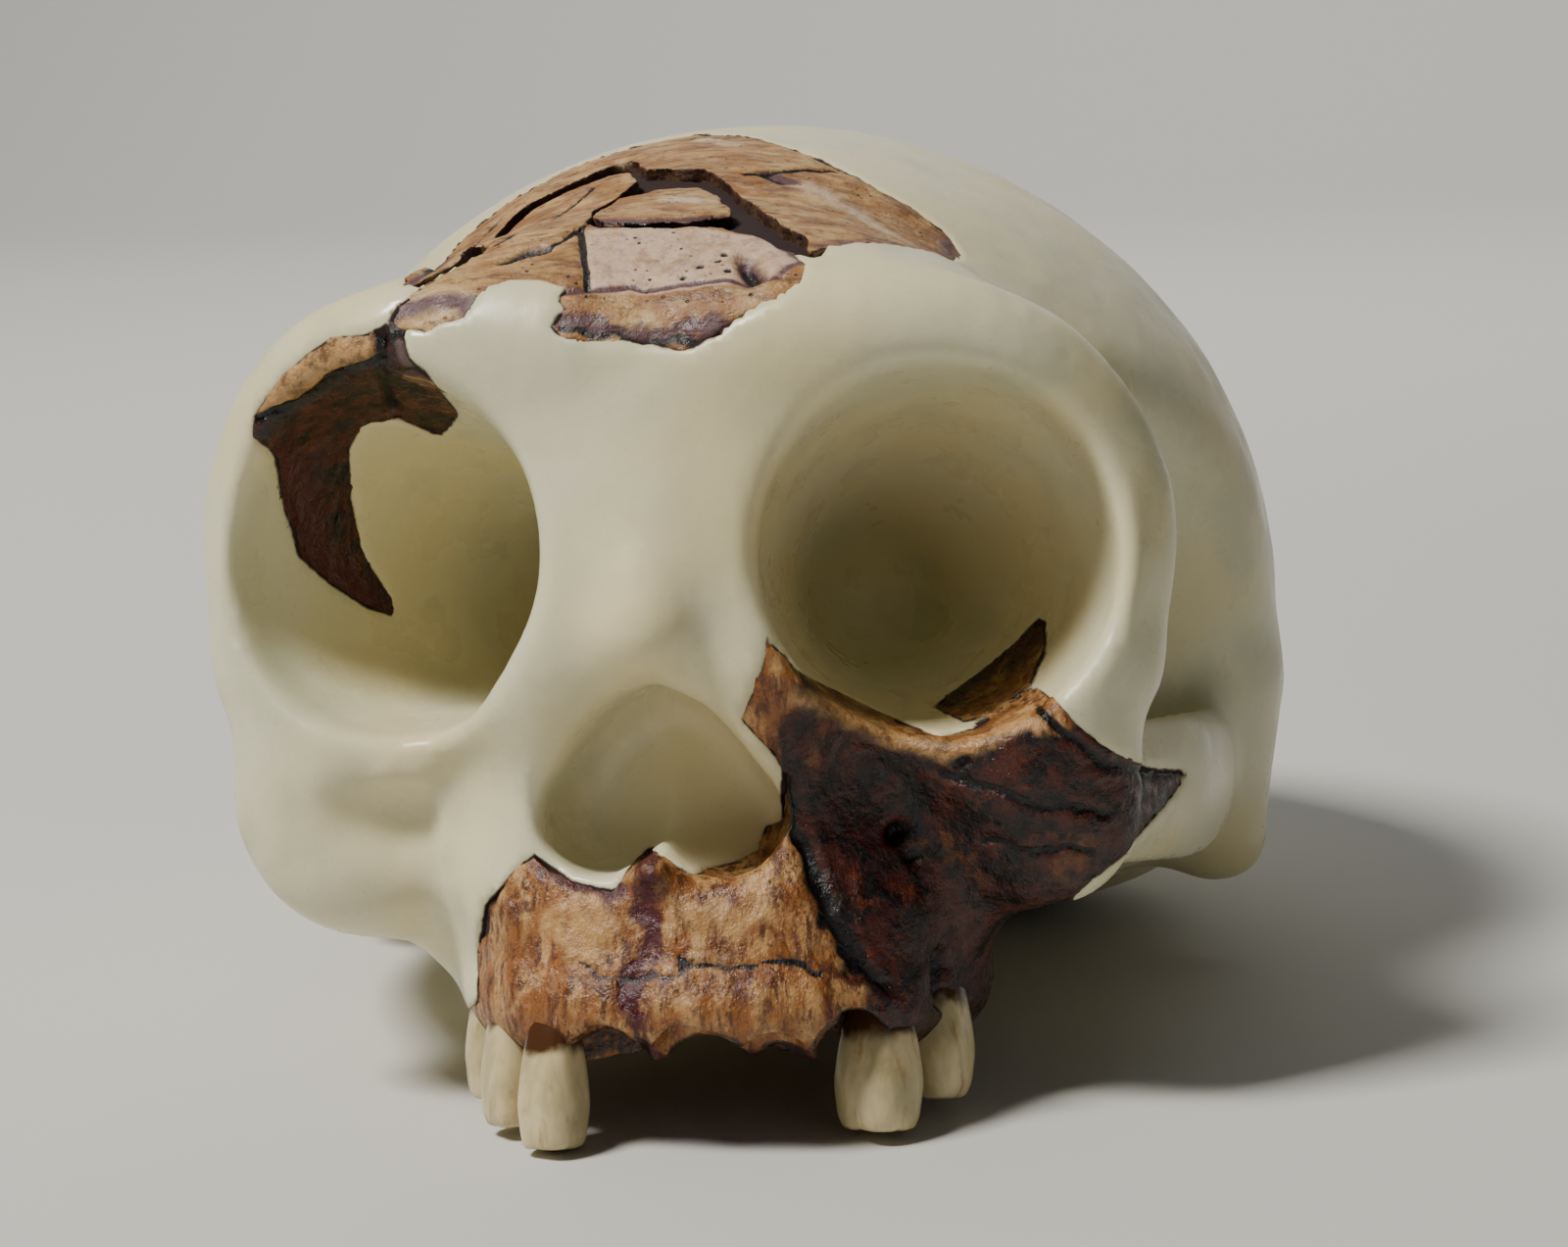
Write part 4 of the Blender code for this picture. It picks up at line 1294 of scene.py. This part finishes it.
@dataclass(frozen=True)
class Fossil:
    """A fossil piece: the skull's own surface inside its outlines, with rough, chipped edges."""

    name: str
    node: str
    slot: str
    prisms: tuple[Prism, ...]
    marks: tuple[Mark, ...]
    low: Spot
    high: Spot
    notches: tuple[Notch, ...] = ()
    cell: float = 0.46
    spread: float = 0.3
    ragged: float = 0.35
    inset: float = 0.2
    relief: float = 0.4
    streaks: float = 0.2
    edge: float = 1.4
    lip: float = 0.7

    def outline(self, p: Axes, skull: Skull, solid: Array) -> Array:
        """Values of the piece's outlines, ragged and a little wider than drawn."""
        return united(self.prisms, p, skull, solid, self.ragged) - self.spread

    def field(self, skull: Skull) -> Field:
        """Field of the fossil."""

        def values_of(p: Axes) -> Array:
            """Values at points."""
            solid = skull.solid(p)
            values = skull.hollows.cut(solid, p, mirrored(p)) + self.inset
            values = soft_max(values, self.outline(p, skull, solid), 0.5)
            for notch in self.notches:
                values = soft_max(values, -notch.field(p), 0.6)
            return values

        return values_of

    def build(self, skull: Skull, material: Material) -> bpy.types.Object:
        """Makes the fossil.

        Args:
            skull: The skull's field.
            material: Its material.

        Returns:
            The piece.
        """
        mesh = Mesher(self.low, self.high, self.cell).mesh(self.name, self.field(skull))
        p = columns(mesh)
        edge = np.clip(1.0 + self.outline(p, skull, skull.solid(p)) / self.edge, 0.0, 1.0)
        for notch in self.notches:
            edge = np.maximum(edge, np.clip(1.6 - np.abs(notch.field(p)) / self.lip, 0.0, 1.0))
        note(mesh, "edge", edge)
        rough = 0.5 + 0.5 * grain(p, 3.6, 21, 4) / 1.875
        streaks = 0.5 + 0.5 * grain((p[0], p[1], p[2] * 0.35), 1.5, 23, 3) / 1.75
        plane = self.prisms[0].plane
        reach = FOREHEAD_REACH if plane is Plane.FOREHEAD else FACE_REACH
        dress(mesh, plane, self.marks, reach, self.relief * rough + self.streaks * streaks)
        return place(f"{self.name}_surface", mesh, material, self.node, self.slot)


@dataclass(frozen=True)
class Tooth:
    """One worn tooth: a crown and root of one profile, wider one way than the other, with blunt corners."""

    node: str
    tip: Spot
    width: float
    thickness: float
    turn: float
    cusps: float = 0.0
    inset: float = 0.12
    cell: float = 0.3
    wear: float = 0.12
    neck: Span = (9.0, 12.6)
    profile: Rows = (
        (0, 0.2), (0.68, 0.32), (0.87, 1.1), (0.96, 3), (1, 6), (0.84, 11), (0.7, 13.5), (0.5, 16.2),
        (0, 17.2),
    )

    def field(self) -> Field:
        """Field of the tooth."""
        path = np.array(smooth_path(self.profile, 6))
        heights = np.maximum.accumulate(path[:, 1])
        turn = math.radians(self.turn)
        across, along = self.width / 2.0 - self.inset, self.thickness / 2.0 - self.inset
        top = self.profile[-1][1]

        def values_of(p: Axes) -> Array:
            """Values at points."""
            x, y, height = p[0] - self.tip[0], p[1] - self.tip[1], p[2] - self.tip[2]
            u = np.abs(x * math.cos(turn) - y * math.sin(turn)) / across
            v = np.abs(x * math.sin(turn) + y * math.cos(turn)) / along
            if self.cusps:
                height = height - self.cusps * np.maximum(1.0 - 5.0 * np.minimum(u, v), 0.0)
            height = height + self.wear * grain(p, 1.8, 33, 2)
            radius = np.interp(height, heights, path[:, 0])
            beyond = np.maximum(self.profile[0][1] - height, height - top)
            radius = np.where(beyond > 0.0, -beyond, radius)
            return (np.cbrt(u * u * u + v * v * v) - radius) * min(across, along) * 0.7

        return values_of

    def build(self, material: Material) -> bpy.types.Object:
        """Makes the tooth."""
        spread = max(self.width, self.thickness) / 2.0 + 1.0
        low = (self.tip[0] - spread, self.tip[1] - spread, self.tip[2] - 1.2)
        high = (self.tip[0] + spread, self.tip[1] + spread, self.tip[2] + 18.4)
        mesh = Mesher(low, high, self.cell).mesh(self.node, self.field())
        p = columns(mesh)
        height = p[2] - self.tip[2] + 1.2 * grain(p, 2.6, 31, 2)
        note(mesh, "neck", ramp(height, *self.neck))
        return place(f"{self.node}_crown", mesh, material, self.node, "enamel")


TEETH = (
    Tooth("right_canine", (-11.4, 5.27, -45.72), 7.2, 7.5, 20),
    Tooth("right_first_premolar", (-17, 11.5, -44), 6.8, 7.8, 50, 0.12),
    Tooth("right_second_premolar", (-20.6, 19, -41.6), 7, 8.2, 70, 0.12),
    Tooth("left_first_molar", (23.2, 12.6, -43.8), 8.4, 9.4, -50, 0.15),
    Tooth("left_second_molar", (28, 21.5, -41), 8.4, 9, -70, 0.15),
)
FOREHEAD_SLOT = "forehead_bone"
FACE_SLOT = "face_bone"
FOSSILS = (
    Fossil(
        "frontal_upper", "frontal_upper_fragment", FOREHEAD_SLOT, (UPPER,), UPPER_MARKS,
        (-37, -3, 40), (34, 66, 79),
    ),
    Fossil(
        "frontal_lower", "frontal_lower_fragment", FOREHEAD_SLOT, (LOWER,), LOWER_MARKS,
        (-33, -8, 29), (21, 44, 71),
    ),
    Fossil(
        "frontal_shard", "frontal_shard", FOREHEAD_SLOT, (SHARD,), SHARD_MARKS,
        (-14, 6, 48), (11, 34, 68),
    ),
    Fossil(
        "orbit", "orbit_fragment", FACE_SLOT, (ORBIT,), ORBIT_MARKS,
        (-53, -7, 8), (-18, 41, 49),
    ),
    Fossil(
        "face", "face_fragment", FACE_SLOT, (JAW, CHEEK, LINING), FACE_MARKS,
        (-31.0, -7.0, -42.0), (61.0, 63.0, 18.0), SOCKETS, 0.5,
    ),
)


@dataclass(frozen=True)
class Studio:
    """Camera, soft lights and a pale floor that runs up into a backdrop."""

    turn: float = math.radians(9.3)
    elevation: float = math.radians(-2.0)
    distance: float = 400.0
    centre: Span = (-14.6, -11.3)
    lens: float = 85.75
    floor: str = "d2d1cb"
    front: float = -3.0
    bend: float = 1.6
    side: float = 4.0
    top: float = 4.0
    steps: int = 12

    def camera(self) -> None:
        """Sets up the camera at the viewing angle."""
        right = Vector((math.cos(self.turn), math.sin(self.turn), 0.0))
        level = math.cos(self.elevation)
        rise = math.sin(self.elevation)
        ahead = Vector((-math.sin(self.turn) * level, math.cos(self.turn) * level, -rise))
        up = right.cross(ahead)
        eye = -self.distance * ahead - self.centre[0] * right - self.centre[1] * up
        pose = Matrix((right, up, -ahead)).transposed().to_4x4()
        pose.translation = eye
        pose = lay() @ pose
        pose.translation *= MM
        camera = link("camera", bpy.data.cameras.new("camera"))
        camera.data.lens = self.lens
        camera.data.sensor_fit = "HORIZONTAL"
        camera.data.clip_start = 0.01
        camera.matrix_world = pose
        bpy.context.scene.camera = camera

    def light(self, name: str, spot: Spot, aim: Spot, size: float, power: float, colour: Spot) -> None:
        """Adds a soft square light.

        Args:
            name: Name of the light.
            spot: Its place in metres.
            aim: The point that it faces.
            size: Its side in metres.
            power: Its power in watts.
            colour: Its colour.
        """
        lamp = bpy.data.lights.new(name, "AREA")
        lamp.size = size
        lamp.energy = power
        lamp.color = colour
        holder = link(name, lamp)
        holder.location = spot
        holder.rotation_euler = (Vector(aim) - Vector(spot)).to_track_quat("-Z", "Y").to_euler()

    def sweep(self) -> None:
        """Adds the floor, which rises into a backdrop behind the skull."""
        shape = bmesh.new()
        line = [(self.front, 0.0), (self.bend, 0.0)]
        for step in range(1, self.steps + 1):
            angle = math.radians(90.0 * step / self.steps)
            line.append((self.bend + math.sin(angle), 1.0 - math.cos(angle)))
        line.append((self.bend + 1.0, self.top))
        rows = [[shape.verts.new((x, y, z)) for y, z in line] for x in (-self.side, self.side)]
        for a, b, c, d in zip(rows[0], rows[0][1:], rows[1][1:], rows[1]):
            shape.faces.new((a, d, c, b))
        mesh = bpy.data.meshes.new("floor")
        settle(shape, mesh)
        surface = Shading("studio_floor").close({"Base Color": linear(self.floor), "Roughness": 0.8})
        mesh.materials.append(surface)
        link("floor", mesh)

    def build(self) -> None:
        """Sets up the whole studio."""
        self.camera()
        self.sweep()
        self.light("key", (-0.6, -0.5, 1.15), (0.0, -0.03, 0.06), 0.32, 24.0, (1.0, 0.97, 0.92))
        self.light("fill", (0.9, -1.0, 0.45), (0.0, 0.0, 0.05), 0.9, 0.4, (0.92, 0.96, 1.0))
        self.light("backdrop", (0.0, 0.9, 1.6), (0.0, 2.5, 0.5), 1.6, 30.0, (1.0, 1.0, 1.0))
        world = bpy.data.worlds.new("studio")
        world.use_nodes = True
        sky = world.node_tree.nodes["Background"].inputs
        sky["Color"].default_value = (0.75, 0.76, 0.78, 1.0)
        sky["Strength"].default_value = 0.06
        bpy.context.scene.world = world


def main() -> None:
    """Builds the skull piece by piece, then the studio around it."""
    logging.basicConfig(level=logging.INFO, format="%(message)s")
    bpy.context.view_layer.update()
    skull = Skull()
    Cast().build(skull, CastFinish())
    bones = {FOREHEAD_SLOT: ForeheadFinish().material(), FACE_SLOT: FaceBoneFinish().material()}
    for fossil in FOSSILS:
        fossil.build(skull, bones[fossil.slot])
    enamel = EnamelFinish().material()
    for tooth in TEETH:
        tooth.build(enamel)
    Studio().build()


if __name__ == "__main__":
    main()
